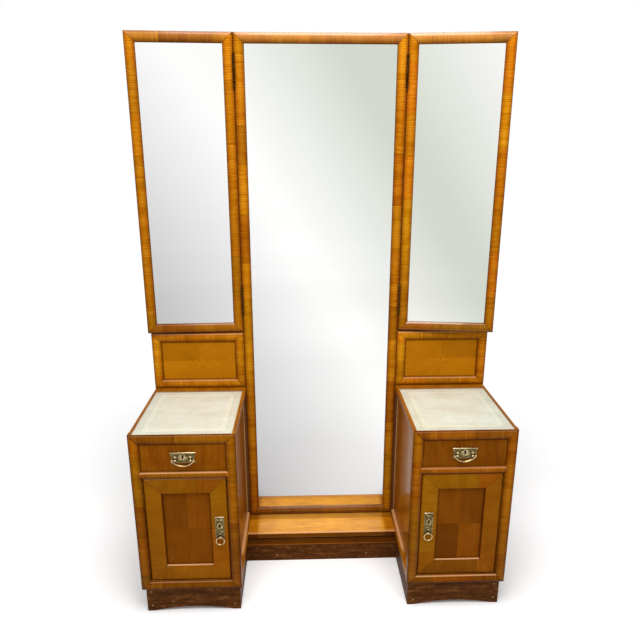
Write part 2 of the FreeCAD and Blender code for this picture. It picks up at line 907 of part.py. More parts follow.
    # Loose shelf in the cupboard, on two bearers.
    shelf_z = (d.cupboard_shelf_height, d.cupboard_shelf_height + d.cupboard_shelf_thick)
    shelf_y = (face_back + d.cupboard_shelf_setback, panel_back)
    cupboard_shelves.append(
        board(f"cupboard_shelf_{side}", shrink(inside_x, d.guide_clearance), shelf_y, shelf_z)
    )
    bearer_z = (shelf_z[0] - d.bearer, shelf_z[0])
    for index, near in enumerate((side_face, far_side_face - d.bearer)):
        bearer_x = span(hand, near, near + d.bearer)
        bearers.append(board(f"bearer_{side}_{index}", bearer_x, shelf_y, bearer_z))

    # Plinth: four dark boards, the front one arched between its feet.
    plinth_x = span(hand, half + d.plinth_side_inset, far - d.plinth_side_inset)
    plinth_front = front + d.plinth_front_inset
    plinth_middle = (plinth_x[0] + plinth_x[1]) / 2
    plinth_face = prism(
        f"plinth_face_{side}",
        "XZ_Plane",
        [
            (plinth_x[0], as_size(0)),
            (plinth_x[0] + d.plinth_foot, as_size(0), (plinth_middle, d.plinth_arch)),
            (plinth_x[1] - d.plinth_foot, as_size(0)),
            (plinth_x[1], as_size(0)),
            (plinth_x[1], d.plinth_height),
            (plinth_x[0], d.plinth_height),
        ],
        plinth_front,
        plinth_front + d.plinth_thick,
    )
    plinth_z = (as_size(0), d.plinth_height)
    plinth_boards.append(plinth_face)
    for index, low in enumerate((plinth_x[0], plinth_x[1] - d.plinth_thick)):
        x = (low, low + d.plinth_thick)
        y = (plinth_front + d.plinth_thick, back)
        plinth_boards.append(board(f"plinth_side_{side}_{index}", x, y, plinth_z))
    plinth_boards.append(
        board(
            f"plinth_back_{side}",
            shrink(plinth_x, d.plinth_thick),
            (back - d.plinth_thick, back),
            plinth_z,
        )
    )

    # Drawer: a veneered front with softened edges, and a plain box behind it that runs between guides.
    drawer_x = span(hand, open_near + d.drawer_gap, open_far - d.drawer_gap)
    drawer_z = (rail_top + d.drawer_gap, open_top - d.drawer_gap)
    drawer_back_y = face_y + d.drawer_front_thick
    drawer_end = panel_back - d.drawer_end_gap
    box_x = shrink(drawer_x, d.drawer_side_inset)
    pull_x = hand * middle
    pull_z = rail_top + d.pull_lift
    pull_key_z = pull_z + d.pull_key_height + d.keyhole_drop / 2
    through_front = (face_y - d.saw_over, drawer_back_y + d.saw_over)
    edge = d.drawer_front_round
    edge_mid = edge * (1 - math.sqrt(0.5))
    front_bar = prism(
        f"drawer_bar_{side}",
        "YZ_Plane",
        [
            (drawer_back_y, drawer_z[0]),
            (drawer_back_y, drawer_z[1]),
            (face_y + edge, drawer_z[1], (face_y + edge_mid, drawer_z[1] - edge_mid)),
            (face_y, drawer_z[1] - edge),
            (face_y, drawer_z[0] + edge, (face_y + edge_mid, drawer_z[0] + edge_mid)),
            (face_y + edge, drawer_z[0]),
        ],
        *drawer_x,
    )
    drawer_key = key_slot(f"drawer_key_{side}", pull_x, pull_key_z, through_front)
    node(f"drawer_front_{side}", cut(f"drawer_front_slotted_{side}", front_bar, drawer_key))
    box_y = (drawer_back_y, drawer_end)
    box_sides = ((box_x[0], box_x[0] + d.drawer_side_thick), (box_x[1] - d.drawer_side_thick, box_x[1]))
    box_z = (drawer_z[0], drawer_z[0] + d.drawer_side_height)
    box_pieces = [
        board(f"drawer_side_{side}_{index}", x, box_y, box_z) for index, x in enumerate(box_sides)
    ]
    within_x = shrink(box_x, d.drawer_side_thick)
    floor_z = (box_z[0] + d.drawer_bottom_lift, box_z[0] + d.drawer_bottom_lift + d.drawer_bottom_thick)
    box_pieces.append(board(f"drawer_bottom_{side}", within_x, box_y, floor_z))
    end_y = (drawer_end - d.drawer_side_thick, drawer_end)
    box_pieces.append(board(f"drawer_end_{side}", within_x, end_y, (floor_z[1], box_z[1])))
    node(f"drawer_box_{side}", group(f"drawer_boards_{side}", box_pieces))

    # Runners under the drawer sides, with a guide standing up along each.
    guide_face = (box_x[0] - d.guide_clearance, box_x[1] + d.guide_clearance)
    runner_y = (drawer_back_y + d.guide_clearance, panel_back)
    for index, (wall, inward) in enumerate(((inside_x[0], 1), (inside_x[1], -1))):
        runner_low = rail_low + d.divider_thick
        foot = wall + inward * d.runner_foot
        guide_top = drawer_z[0] + d.guide_height
        runners.append(
            prism(
                f"runner_{side}_{index}",
                "XZ_Plane",
                [
                    (wall, runner_low),
                    (foot, runner_low),
                    (foot, drawer_z[0]),
                    (guide_face[index], drawer_z[0]),
                    (guide_face[index], guide_top),
                    (wall, guide_top),
                ],
                *runner_y,
            )
        )

    # Drawer pull, and the lock behind it whose bolt shoots up behind the top rail.
    bail_y = face_y - d.plate_thick - d.bail_eye_radius + d.plate_thick / 4
    bail_z = pull_z + d.bail_pivot_height
    node(f"drawer_pull_plate_{side}", pull_plate(f"pull_{side}", pull_x, pull_z, bail_y, bail_z))
    node(f"drawer_bail_{side}", bail(f"bail_{side}", pull_x, bail_y, bail_z))
    lock_y = (drawer_back_y, drawer_back_y + d.lock_thick)
    lock_top = drawer_z[1] - d.lock_edge
    case_x = (pull_x - d.lock_breadth / 2, pull_x + d.lock_breadth / 2)
    bolt_x = (pull_x - d.bolt_breadth / 2, pull_x + d.bolt_breadth / 2)
    bolt_z = (lock_top - d.bolt_length, lock_top)
    node(
        f"drawer_lock_{side}",
        lock_case(
            f"drawer_case_{side}",
            case_x,
            lock_y,
            (lock_top - d.lock_length, lock_top),
            (bolt_x[0] - d.bolt_clearance, bolt_x[1] + d.bolt_clearance),
            (bolt_z[0] - d.bolt_clearance, bolt_z[1] + d.saw_over),
        ),
    )
    node(f"drawer_bolt_{side}", board(f"drawer_bolt_bar_{side}", bolt_x, bolt_depth(lock_y), bolt_z))

    # Door: a flat mitred frame with rounded outer edges round a sunk panel.
    door_back = face_y + d.door_thick
    panel_y = face_y + d.door_panel_setback

    def door_section(edge, inward):
        inner = edge + inward * d.door_member
        ledge = inner - inward * d.door_rebate
        round_in = d.door_round * (1 - math.sqrt(0.5))
        return [
            (edge, face_y + d.door_round, (edge + inward * round_in, face_y + round_in)),
            (edge + inward * d.door_round, face_y),
            (inner, face_y),
            (inner, panel_y),
            (ledge, panel_y),
            (ledge, door_back),
            (edge, door_back),
        ]

    lock_edge_x = open_near + d.door_gap
    plate_x = hand * (lock_edge_x + d.escutcheon_inset)
    plate_z = door_z[0] + d.escutcheon_lift
    door_key_z = plate_z + d.door_key_height + d.keyhole_drop / 2
    through_door = (face_y - d.saw_over, door_back + d.saw_over)
    door_key = key_slot(f"door_key_{side}", plate_x, door_key_z, through_door)
    door_members = mitred_frame(f"door_{side}", door_section, door_x, door_z, d.door_member)
    node(
        f"door_frame_{side}",
        cut(f"door_bored_{side}", group(f"door_members_{side}", door_members), door_key, *bores),
    )
    in_door = d.door_member - d.door_rebate
    node(
        f"door_panel_{side}",
        board(
            f"door_panel_sheet_{side}",
            shrink(door_x, in_door),
            (panel_y, panel_y + d.door_panel_thick),
            shrink(door_z, in_door),
        ),
    )
    stop_x = span(hand, side_face, side_face + d.stop_width)
    stop_y = (door_back + d.stop_clearance, door_back + d.stop_clearance + d.stop_width)
    stop_z = (open_low + d.stop_lift, open_low + d.stop_lift + d.stop_height)
    stops.append(board(f"door_stop_{side}", stop_x, stop_y, stop_z))

    # Door plate with its ring, and the lock whose bolt shoots behind the upright beside the kneehole.
    ring_y = face_y - d.plate_thick - d.ring_eye_radius + d.plate_thick / 4
    ring_z = plate_z + d.ring_pivot_height
    node(f"door_plate_{side}", door_plate(f"door_plate_solid_{side}", plate_x, plate_z, ring_y, ring_z))
    ring = bent_wire(f"ring_{side}", d.ring_radius, d.ring_wire, 360)
    place(ring, plate_x, ring_y, ring_z - d.ring_radius)
    node(f"door_ring_{side}", ring)
    lock_y = (door_back, door_back + d.lock_thick)
    case_near = lock_edge_x + d.lock_edge
    bolt_mid = plate_z + d.door_key_height
    bolt_z = (bolt_mid - d.bolt_breadth / 2, bolt_mid + d.bolt_breadth / 2)
    node(
        f"door_lock_{side}",
        lock_case(
            f"door_case_{side}",
            span(hand, case_near, case_near + d.lock_length),
            lock_y,
            (bolt_mid - d.lock_breadth / 2, bolt_mid + d.lock_breadth / 2),
            span(hand, case_near - d.saw_over, case_near + d.bolt_length + d.bolt_clearance),
            (bolt_z[0] - d.bolt_clearance, bolt_z[1] + d.bolt_clearance),
        ),
    )
    door_bolt_x = span(hand, case_near, case_near + d.bolt_length)
    node(f"door_bolt_{side}", board(f"door_bolt_bar_{side}", door_bolt_x, bolt_depth(lock_y), bolt_z))

# Like pieces of both pedestals that share a node.
SHARED = {
    "wing_hinge_fixed_leaves": fixed_leaves,
    "backsplash_panels": splash_panels,
    "top_leathers": leathers,
    "top_glasses": top_glasses,
    "pedestal_side_panels": side_panels,
    "pedestal_base_rails": base_rails,
    "pedestal_bottoms": bottoms,
    "drawer_dividers": dividers,
    "pedestal_backs": back_panels,
    "pedestal_plinths": plinth_boards,
    "drawer_runners": runners,
    "cupboard_shelves": cupboard_shelves,
    "shelf_bearers": bearers,
    "door_pivot_pins": pivots,
    "door_stops": stops,
}
for label, members in SHARED.items():
    node(label, group(f"{label}_group", members))

doc.recompute()
for obj in doc.Objects:
    failed = {"Invalid", "Error"} & set(obj.State)
    if failed:
        raise RuntimeError(f"{obj.Name} is {', '.join(sorted(failed))}")
for obj in NODES:
    if obj.Shape.isNull() or not obj.Shape.isValid() or not obj.Shape.Solids:
        raise RuntimeError(f"{obj.Label} has no valid solid")

os.makedirs("parts", exist_ok=True)
for obj in NODES:
    obj.Shape.exportStep(os.path.join("parts", f"{obj.Label}.step"))
    print(obj.Label, len(obj.Shape.Solids), round(obj.Shape.Volume))
print(len(NODES), "nodes")
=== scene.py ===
import json
import math

import bmesh
import bpy
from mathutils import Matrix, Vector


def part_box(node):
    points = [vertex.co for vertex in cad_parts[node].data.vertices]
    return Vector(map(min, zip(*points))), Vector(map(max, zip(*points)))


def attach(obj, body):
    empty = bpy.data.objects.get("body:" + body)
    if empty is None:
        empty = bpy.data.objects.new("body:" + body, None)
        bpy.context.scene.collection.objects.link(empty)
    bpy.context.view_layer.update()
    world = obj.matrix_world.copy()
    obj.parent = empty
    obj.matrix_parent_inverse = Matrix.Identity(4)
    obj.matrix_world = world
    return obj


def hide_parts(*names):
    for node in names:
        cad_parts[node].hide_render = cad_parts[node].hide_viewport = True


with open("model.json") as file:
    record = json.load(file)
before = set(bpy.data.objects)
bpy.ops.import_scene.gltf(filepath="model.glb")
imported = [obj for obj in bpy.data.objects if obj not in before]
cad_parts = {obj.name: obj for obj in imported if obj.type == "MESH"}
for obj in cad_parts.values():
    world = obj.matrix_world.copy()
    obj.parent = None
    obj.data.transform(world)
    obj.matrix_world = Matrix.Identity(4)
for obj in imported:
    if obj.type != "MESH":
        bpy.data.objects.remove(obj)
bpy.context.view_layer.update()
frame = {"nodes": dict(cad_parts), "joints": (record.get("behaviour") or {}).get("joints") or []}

nodes = frame["nodes"]


# Centre mirror frame. Four lengths of softwood faced with cross-banded fruitwood veneer, planed to a low
# cushion section with a rebate behind for the glass, mitred at the corners, glued and French polished.
MOULD_WIDTH = 0.032
MOULD_DEPTH = 0.020
CROWN = 0.005
GLASS_REBATE = 0.007
GLASS_SETBACK = 0.008
CUSHION_CUTS = 16
HAIR = 1e-5
SOFT_EDGE = 0.0004
EDGE_ANGLE = math.radians(35)
FACING_FRONT = (math.pi / 2, 0, 0)


def stain(red, green, blue):
    """A finish colour given as it looks on a screen, 0 to 255, as the shaders take it."""
    shown = (channel / 255 for channel in (red, green, blue))
    return (*(c / 12.92 if c <= 0.04045 else ((c + 0.055) / 1.055) ** 2.4 for c in shown), 1.0)


def sum_by(operation):
    """A method of Wire that adds a Math node."""
    return lambda wire, *others: wire.maths(operation, wire, *others)


class Wire:
    """One output of a material's nodes. Sums on wires add Math nodes, and node() adds any other node."""

    def __init__(self, tree, socket=None):
        self.tree = tree
        self.socket = socket

    def fill(self, made, sockets):
        for name, value in sockets.items():
            if isinstance(value, Wire):
                self.tree.links.new(value.socket, made.inputs[name])
            else:
                made.inputs[name].default_value = value

    def node(self, kind, settings, sockets, output=0):
        made = self.tree.nodes.new(kind)
        for name, value in settings.items():
            setattr(made, name, value)
        self.fill(made, sockets)
        return Wire(self.tree, made.outputs[output])

    def maths(self, operation, *values):
        return self.node("ShaderNodeMath", {"operation": operation}, dict(enumerate(values)))

    def __rsub__(self, other):
        return self.maths("SUBTRACT", other, self)

    __add__ = __radd__ = sum_by("ADD")
    __sub__ = sum_by("SUBTRACT")
    __mul__ = __rmul__ = sum_by("MULTIPLY")
    __truediv__ = sum_by("DIVIDE")
    __lt__ = sum_by("LESS_THAN")
    __gt__ = sum_by("GREATER_THAN")
    __abs__ = sum_by("ABSOLUTE")
    least = sum_by("MINIMUM")
    most = sum_by("MAXIMUM")

    def held(self, top=1.0):
        """Kept between 0 and a top value."""
        return self.most(0.0).least(top)

    def ramp(self, *stops):
        """Goes through colours; each stop is a place from 0 to 1 and the colour there."""
        made = self.node("ShaderNodeValToRGB", {}, {0: self})
        elements = made.socket.node.color_ramp.elements
        for index, (place, colour) in enumerate(stops):
            stop = elements[index] if index < 2 else elements.new(place)
            stop.position = place
            stop.color = colour
        return made

    def mix(self, first, second):
        """Goes from the first colour to the second as this wire goes from 0 to 1."""
        return self.node("ShaderNodeMix", {"data_type": "RGBA"}, {0: self, 6: first, 7: second}, 2)


def finish_called(name, centre=(0, 0, 0), turn=0.0):
    """A new material, a wire with which its nodes are made, and the piece's own X, Y and Z, from a centre
    and turned about Z with a piece that stands askew."""
    made = bpy.data.materials.new(name)
    made.use_nodes = True
    paint = Wire(made.node_tree)
    seen = paint.node("ShaderNodeTexCoord", {}, {}, "Object")
    place = {"Vector": seen, "Location": centre, "Rotation": (0, 0, turn)}
    turned = paint.node("ShaderNodeMapping", {"vector_type": "TEXTURE"}, place)
    split = paint.node("ShaderNodeSeparateXYZ", {}, {0: turned})
    return made, paint, [Wire(paint.tree, output) for output in split.socket.node.outputs]


def noise(paint, first, second, third, detail=3.0, roughness=0.55):
    vector = paint.node("ShaderNodeCombineXYZ", {}, {0: first, 1: second, 2: third})
    sockets = {"Vector": vector, "Scale": 1.0, "Detail": detail, "Roughness": roughness}
    return paint.node("ShaderNodeTexNoise", {}, sockets)


def relief(paint, height, strength, distance=0.0003):
    """Fine unevenness, for the Normal of a finish."""
    return paint.node("ShaderNodeBump", {}, {"Strength": strength, "Distance": distance, "Height": height})


def strip_chance(paint, strips):
    """Chance values, 0 to 1, for each of a row of strips that are about 1 long."""
    cell = paint.node("ShaderNodeTexVoronoi", {"voronoi_dimensions": "1D"}, {"W": strips, "Scale": 1.0},
                      "Color")
    return paint.node("ShaderNodeSeparateColor", {}, {0: cell})


def surface(paint, **sockets):
    """Sets the Principled shader of a finish; socket names are written with underscores."""
    named = {name.replace("_", " ").replace("Ior", "IOR"): value for name, value in sockets.items()}
    paint.fill(paint.tree.nodes["Principled BSDF"], named)


DEEP_HONEY = stain(166, 95, 6)
HONEY = stain(196, 120, 12)
PALE_HONEY = stain(214, 140, 26)
# The pale pink of painted highlights.
HIGHLIGHT_PALE = stain(226, 168, 116)
SOFTWOOD = stain(196, 156, 104)
DARK_SOFTWOOD = stain(150, 108, 62)
SHELLAC = (1.0, 0.6, 0.08, 1.0)
AMBER = (1.0, 0.82, 0.5, 1.0)
STREAKS = (125, 10)  # marks to a metre, across the fibres and along them
PORES = (950, 45)
CLOUDS = (24, 14)
RIPPLE_RATE = math.tau / 0.0066
SEAM = 0.0006
MITRE_LINE = 0.0011
# Width of the darkest painted shade right at the edges of the members.
EDGE_LINE = 0.0016
# Painted highlights on the rails: the line's distance below a rail's top edge, its half width, and the height
# of a fainter one above the foot rail's lower edge.
HIGHLIGHT_LINE = 0.0036
HIGHLIGHT_WIDTH = 0.0034
UNDERSIDE = 0.0060
BARE_SKIN = 0.0004
FACE_SKIN = 0.0002
CORNER_SLACK = 0.001
STEEP = 1e3
KEY_CUT_HALF = 0.0045
KEY_CUT_SPILL = 0.003


def polished_wood(paint, fibre, spread, seed, value=1.0, hue=0.5, figure=1.0, ripple=0.0, gloss=0.05,
                  sheen=SHELLAC, wear_and_highlight=None, bare=None):
    """French-polished veneer whose fibres run along the first coordinate, rippled across them. It is
    painted pale where a highlight is laid on it, and the ground shows where it is bare."""
    streaks = noise(paint, spread * STREAKS[0], fibre * STREAKS[1], seed, 4.0)
    pores = noise(paint, spread * PORES[0], fibre * PORES[1], seed, 2.0)
    clouds = noise(paint, spread * CLOUDS[0], fibre * CLOUDS[1], seed, 3.0)
    shade = (streaks * 0.4 + pores * 0.15 + clouds * 0.45 - 0.5) * figure + 0.5
    if ripple:
        waves = paint.maths("SINE", spread * RIPPLE_RATE + clouds * 22 + streaks * 6)
        shade = shade + waves * ((clouds - 0.3) * ripple)
    colour = shade.ramp((0.34, DEEP_HONEY), (0.5, HONEY), (0.66, PALE_HONEY))
    toned = paint.node("ShaderNodeHueSaturation", {},
                       {"Hue": hue, "Saturation": 1.0, "Value": value, "Fac": 1.0, "Color": colour})
    bump = relief(paint, pores * 0.5 + streaks * 0.5, 0.1)
    rough = pores * 0.12 + 0.26
    # Painted highlight: the colour goes towards a pale pink.
    if wear_and_highlight:
        toned = wear_and_highlight.mix(toned, HIGHLIGHT_PALE)
    if bare:
        ground = noise(paint, fibre * 70, spread * 3, seed, 4.0) * 0.8 + pores * 0.2
        toned = bare.mix(toned, ground.ramp((0.34, DARK_SOFTWOOD), (0.66, SOFTWOOD)))
        rough = rough + bare * 0.3
    surface(paint, Base_Color=toned, Roughness=rough, Normal=bump, Specular_Ior_Level=gloss,
            Specular_Tint=sheen)


def key_slot(x, z, slot):
    """Where a key slot passes through the wood, painted black as the shadow in it: slot is (x, top, drop)."""
    middle, top, drop = slot
    return (abs(abs(x) - middle) < KEY_CUT_HALF) * (abs(z - (top - drop / 2)) < drop / 2 + KEY_CUT_SPILL)


def banded_veneer(
    name, x_span, z_span, crest, centre=(0, 0, 0), turn=0.0, seed=0.0, strip=0.16, tone=0.80, foot_tone=None,
    hue=0.5, rail_hue=0.0, figure=1.1, ripple=0.38, width=MOULD_WIDTH, edge_shade=0.45, reach=0.012, highlight=0.5,
    top_highlight=None, drop=0.0, foot_rail=1.0, coat=0.0, slot=None, lip=0.0, depth=MOULD_DEPTH,
):
    """Cross-banding round a mitred frame: short strips laid end to end, fibres across each member. The
    tone may change from the top of the frame to its foot, as painted light and shade; the edges, the low
    part of each rail and, by foot_rail, the foot rail are painted darker as shade, and painted highlights
    run pale along the rails, as lip paints one along the inner edge of the foot rail."""
    made, paint, (x, y, z) = finish_called(name, centre, turn)
    from_side = (x - x_span[0]).least(x_span[1] - x)
    from_end = (z - z_span[0]).least(z_span[1] - z)
    upright = from_side < from_end
    right = x > sum(x_span) / 2
    upper = z > sum(z_span) / 2
    along = x + upright * (z - x)
    across = z + upright * (x - z)
    member = seed + right * upright * 3.7 + upper * (1 - upright) * 5.3 + upright * 9.1
    strips = along / strip + member
    chance = strip_chance(paint, strips)
    joint = paint.node("ShaderNodeTexVoronoi", {"voronoi_dimensions": "1D", "feature": "DISTANCE_TO_EDGE"},
                       {"W": strips, "Scale": 1.0})
    seam = (joint * strip < SEAM).most(abs(from_side - from_end) < MITRE_LINE)
    # Painted light and shade: the tone goes from foot_tone at the foot to tone at the top.
    if foot_tone:
        tone = (z - z_span[0]) * ((tone - foot_tone) / (z_span[1] - z_span[0])) + foot_tone
    from_edge = from_side.least(from_end)
    # Painted shade: darker and redder near the edges of each member, darkest right at the edge, but not on
    # the sides behind the cushion.
    height = from_edge.least(width - from_edge).most((y - (crest + CROWN + SOFT_EDGE)) * STEEP)
    unshaded = (height / reach).held() - (height < EDGE_LINE) * 0.8
    laid = paint.maths("SQRT", chance) * 0.42 + 0.71
    rail = 1 - upright
    above = abs(upper * width - from_end)
    # Painted highlight: a pale line along the top edge of each rail, lower by drop on the upper rails.
    ridge = above + upper * drop - (width - HIGHLIGHT_LINE)
    wear_and_glint = highlight if top_highlight is None else upper * (top_highlight - highlight) + highlight
    wear_and_highlight = rail * (1 - abs(ridge) / HIGHLIGHT_WIDTH).most(0.0) * wear_and_glint
    # The low part of each rail is painted darker, as shade.
    value = laid - seam * 0.4 - rail * (1 - above / width) * (edge_shade * 0.6)
    value = value * (unshaded * edge_shade + (1 - edge_shade)) * tone
    tint = Wire(paint.tree, chance.socket.node.outputs[1]) * 0.018 + (hue - 0.009) - (1 - unshaded) * 0.01
    if rail_hue:
        tint = tint + rail * rail_hue
    # With the coat, a painted highlight veils the upper rails, paler towards their top edge.
    if coat:
        wear_and_highlight = wear_and_highlight + rail * upper * above * (coat * 0.3 / width)
    # The foot rail is painted darker and redder, as shade, with a fainter painted highlight just above its
    # lower edge.
    if foot_rail < 1:
        foot = rail * (1 - upper)
        value = value * (1 - foot * (1 - foot_rail))
        tint = tint - foot * 0.004
        wear_and_highlight = wear_and_highlight + foot * (1 - abs(above - UNDERSIDE) / HIGHLIGHT_WIDTH).most(0.0) * (highlight * 0.5)
    # Painted shadow: the key slot is painted black.
    if slot:
        value = value * (1 - key_slot(x, z, slot))
    # Painted highlight along the inner edge of the foot rail, on the lip before the sunk panel.
    if lip:
        inner_edge = abs(z - (z_span[0] + width)) < MITRE_LINE
        wear_and_highlight = wear_and_highlight + inner_edge * (from_side > width - CORNER_SLACK) * (y > crest + FACE_SKIN) * lip
    polished_wood(paint, across, along, chance * 31.0 + y * 3.0, value, tint, figure, ripple,
                  wear_and_highlight=wear_and_highlight, bare=y > crest + depth - BARE_SKIN)
    if coat:
        lit = rail * (above / (width * 0.3) - 1.3).held()
        surface(paint, Coat_Weight=lit * coat, Coat_Roughness=0.18)
    return made


def primitive(add, scale=(1, 1, 1), **settings):
    """Adds one of Blender's plain shapes, and applies its place, turn and scale."""
    bpy.ops.object.select_all(action="DESELECT")
    add(**settings)
    shape = bpy.context.object
    shape.scale = scale
    bpy.ops.object.transform_apply(location=True, rotation=True, scale=True)
    return shape


def begin(add, scale=(1, 1, 1), **settings):
    """Adds a plain shape and opens it for the tools below, until end() closes it."""
    primitive(add, scale, **settings)
    bpy.ops.object.mode_set(mode="EDIT")


def end():
    bpy.ops.object.mode_set(mode="OBJECT")
    return bpy.context.object


def pick(test):
    """Selects the vertices whose place passes a test, and what lies between them."""
    bpy.ops.mesh.select_mode(type="VERT")
    bpy.ops.mesh.select_all(action="DESELECT")
    mesh = bpy.context.object.data
    shape = bmesh.from_edit_mesh(mesh)
    for vertex in shape.verts:
        vertex.select_set(bool(test(vertex.co)))
    shape.select_flush_mode()
    bmesh.update_edit_mesh(mesh)


def pick_all():
    bpy.ops.mesh.select_all(action="SELECT")


def pull_out(way):
    bpy.ops.mesh.extrude_region_move(TRANSFORM_OT_translate={"value": way})


def squeeze(shares, centre):
    bpy.ops.transform.resize(value=shares, center_override=centre)


def saw(place, facing, clear=None):
    """Cuts through everything along a plane. Clear is the side, inner or outer, that is thrown away."""
    waste = {"use_fill": True, f"clear_{clear}": True} if clear else {}
    pick_all()
    bpy.ops.mesh.bisect(plane_co=place, plane_no=facing, **waste)


def face_out():
    pick_all()
    bpy.ops.mesh.normals_make_consistent(inside=False)


def in_plane(run, along, across):
    """A place or direction in the plane of a frame, along a member that runs on X (0) or Z (2)."""
    return (across, 0.0, along) if run else (along, 0.0, across)


def moulding(run, ends, edge, inward, crest, depth, width=MOULD_WIDTH, rebate=0.0, seat=0.0, pointed=False):
    """A length of cushion moulding along X (run 0) or Z (run 2), with its outer side at edge, mitred or
    pointed at both ends."""
    cross = 2 - run
    middle = edge + inward * width / 2
    along, _, up = in_plane(run, sum(ends) / 2, middle)
    size = {run: ends[1] - ends[0], cross: width}
    cuts = {run: 1, cross: CUSHION_CUTS}
    begin(bpy.ops.mesh.primitive_grid_add, (size[0], size[2], 1), x_subdivisions=cuts[0],
          y_subdivisions=cuts[2], size=1, location=(along, crest + CROWN, up), rotation=FACING_FRONT)
    pick(lambda place: abs(place[cross] - middle) < HAIR)
    bpy.ops.transform.translate(value=(0, -CROWN, 0), use_proportional_edit=True,
                                proportional_edit_falloff="INVERSE_SQUARE", proportional_size=width / 2)
    front_part = seat if rebate else depth
    pick_all()
    pull_out((0, depth, 0))
    squeeze((1, 0, 1), (0, crest + front_part, 0))
    if rebate:
        shoulder = edge + inward * (width - rebate)
        saw(in_plane(run, 0.0, shoulder), in_plane(run, 0.0, 1.0))
        pick(lambda place: place.y > crest + front_part - HAIR
             and inward * (place[cross] - shoulder) < HAIR)
        pull_out((0, depth - front_part, 0))
    face_out()
    tip = in_plane(run, 0.0, middle if pointed else edge)[cross]
    for place, way in zip(ends, (1.0, -1.0)):
        for side in (-inward, inward) if pointed else (-inward,):
            saw(in_plane(run, place, tip), in_plane(run, way, side), "inner")
    return end()


def take_up(pieces):
    """Selects these pieces and no others, with the first of them active."""
    bpy.ops.object.select_all(action="DESELECT")
    for piece in pieces:
        piece.select_set(True)
    bpy.context.view_layer.objects.active = pieces[0]


def glued(name, members, softening=SOFT_EDGE):
    """Joins members into one piece, and takes the sharpness off its edges."""
    take_up(members)
    if len(members) > 1:
        bpy.ops.object.join()
    piece = bpy.context.object
    piece.name = name
    piece.data.name = name
    soft = piece.modifiers.new("softened_edges", "BEVEL")
    soft.width = softening
    soft.segments = 2
    soft.limit_method = "ANGLE"
    soft.angle_limit = EDGE_ANGLE
    bpy.ops.object.modifier_apply(modifier=soft.name)
    bpy.ops.object.shade_smooth_by_angle(angle=EDGE_ANGLE)
    return piece


def mitred_frame(name, x_span, z_span, crest):
    """Four rebated lengths of moulding round an opening."""
    return glued(name, [
        moulding(run, ends, edge, inward, crest, MOULD_DEPTH, MOULD_WIDTH, GLASS_REBATE, GLASS_SETBACK)
        for run, ends, edges in ((2, z_span, x_span), (0, x_span, z_span))
        for edge, inward in zip(edges, (1, -1))
    ])


def stand_for(piece, node, body, finish=None):
    """Gives a new piece its body, the CAD node that it stands for and, unless it has one, its finish."""
    if finish:
        piece.data.materials.clear()
        piece.data.materials.append(finish)
    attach(piece, body)
    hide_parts(node)


def spans(box):
    """The reach of a box from left to right and from bottom to top."""
    low, high = box
    return (low.x, high.x), (low.z, high.z)


TOP_DROP = 0.003
centre_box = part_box("centre_mirror_frame")
centre_x, centre_z = spans(centre_box)
mirror_crest = centre_box[1].y - MOULD_DEPTH
centre_frame = mitred_frame("centre_mirror_frame_moulded", centre_x, centre_z, mirror_crest)
# The centre frame is painted darker at the top than at the foot, as light and shade, with a foot rail painted
# darker and painted highlights along its rails.
centre_veneer = banded_veneer("centre_frame_veneer", centre_x, centre_z, mirror_crest, seed=2.0, tone=0.65,
                              foot_tone=0.79, highlight=0.35, drop=TOP_DROP, foot_rail=0.6, coat=0.9)
stand_for(centre_frame, "centre_mirror_frame", "table", centre_veneer)


# Centre mirror glass. A tall sheet of silvered plate glass held in the rebate, with a plain softwood
# board behind it; the silvering has dulled a little along its edges.
SOFT_GREY = stain(186, 186, 187)
MIDDLE_GREY = stain(224, 224, 224)
CLEAR_GREY = stain(244, 244, 244)
BRIGHT = stain(255, 255, 254)
PALE_GREEN = stain(211, 217, 206)
BLACK = (0.0, 0.0, 0.0, 1.0)
WORN_REACH = 0.016
WORN_START = 0.0035


def dress(node, finish):
    """Puts a finish on a CAD node as it stands."""
    piece = nodes[node]
    if not piece.material_slots:
        piece.data.materials.append(finish)
    for held in piece.material_slots:
        held.material = finish


def silvering(name, x_span, z_span, lean, shades, reflection_shade, clear_foot=0.0, centre=(0, 0, 0), turn=0.0,
              warp=0.0):
    """Silvered glass whose tint, painted light and shade for its reflection, drifts on a line that leans
    across the sheet. The sixth argument, (top, fall, foot, climb), is painted shade that greys it from
    the top, as a part of the height, down to its foot. Warp turns the shading normal, in radians to a
    metre from its left edge, as if the sheet were sprung out of flat."""
    made, paint, (x, y, z) = finish_called(name, centre, turn)
    from_edge = (x - x_span[0]).least(x_span[1] - x).least((z - z_span[0]).least(z_span[1] - z))
    patches = noise(paint, x * 60, y * 60, z * 60, 4.0)
    wear_and_glint = (from_edge < patches * WORN_REACH - WORN_START) * 0.3
    # The painted reflection: tints along a line that leans across the sheet, greyed towards the foot by
    # painted shade.
    rise = (z - z_span[0]) / (z_span[1] - z_span[0])
    clouds = noise(paint, x * 4, y * 4, z * 3, 1.0) - 0.5
    aslant = rise + (x - sum(x_span) / 2) * lean + clouds * 0.03
    top, fall, foot, climb = reflection_shade
    grey = paint.maths("SMOOTH_MIN", (top - rise) * fall, rise * climb + foot, 0.1).most(0.0)
    tint = grey.mix(((aslant + 0.3) / 1.5).ramp(*shades), BLACK)
    # The very foot of the painted reflection is a clear light grey.
    if clear_foot:
        tint = ((clear_foot - rise) / 0.012).held().mix(tint, CLEAR_GREY)
    surface(paint, Base_Color=wear_and_glint.mix(tint, stain(150, 150, 142)), Metallic=1.0, Roughness=wear_and_glint * 0.5)
    if warp:
        flat = paint.node("ShaderNodeNewGeometry", {}, {}, "Normal")
        surface(paint, Normal=paint.node("ShaderNodeVectorRotate", {"rotation_type": "Z_AXIS"},
                                         {"Vector": flat, "Angle": (x_span[0] - x) * warp}))
    return made


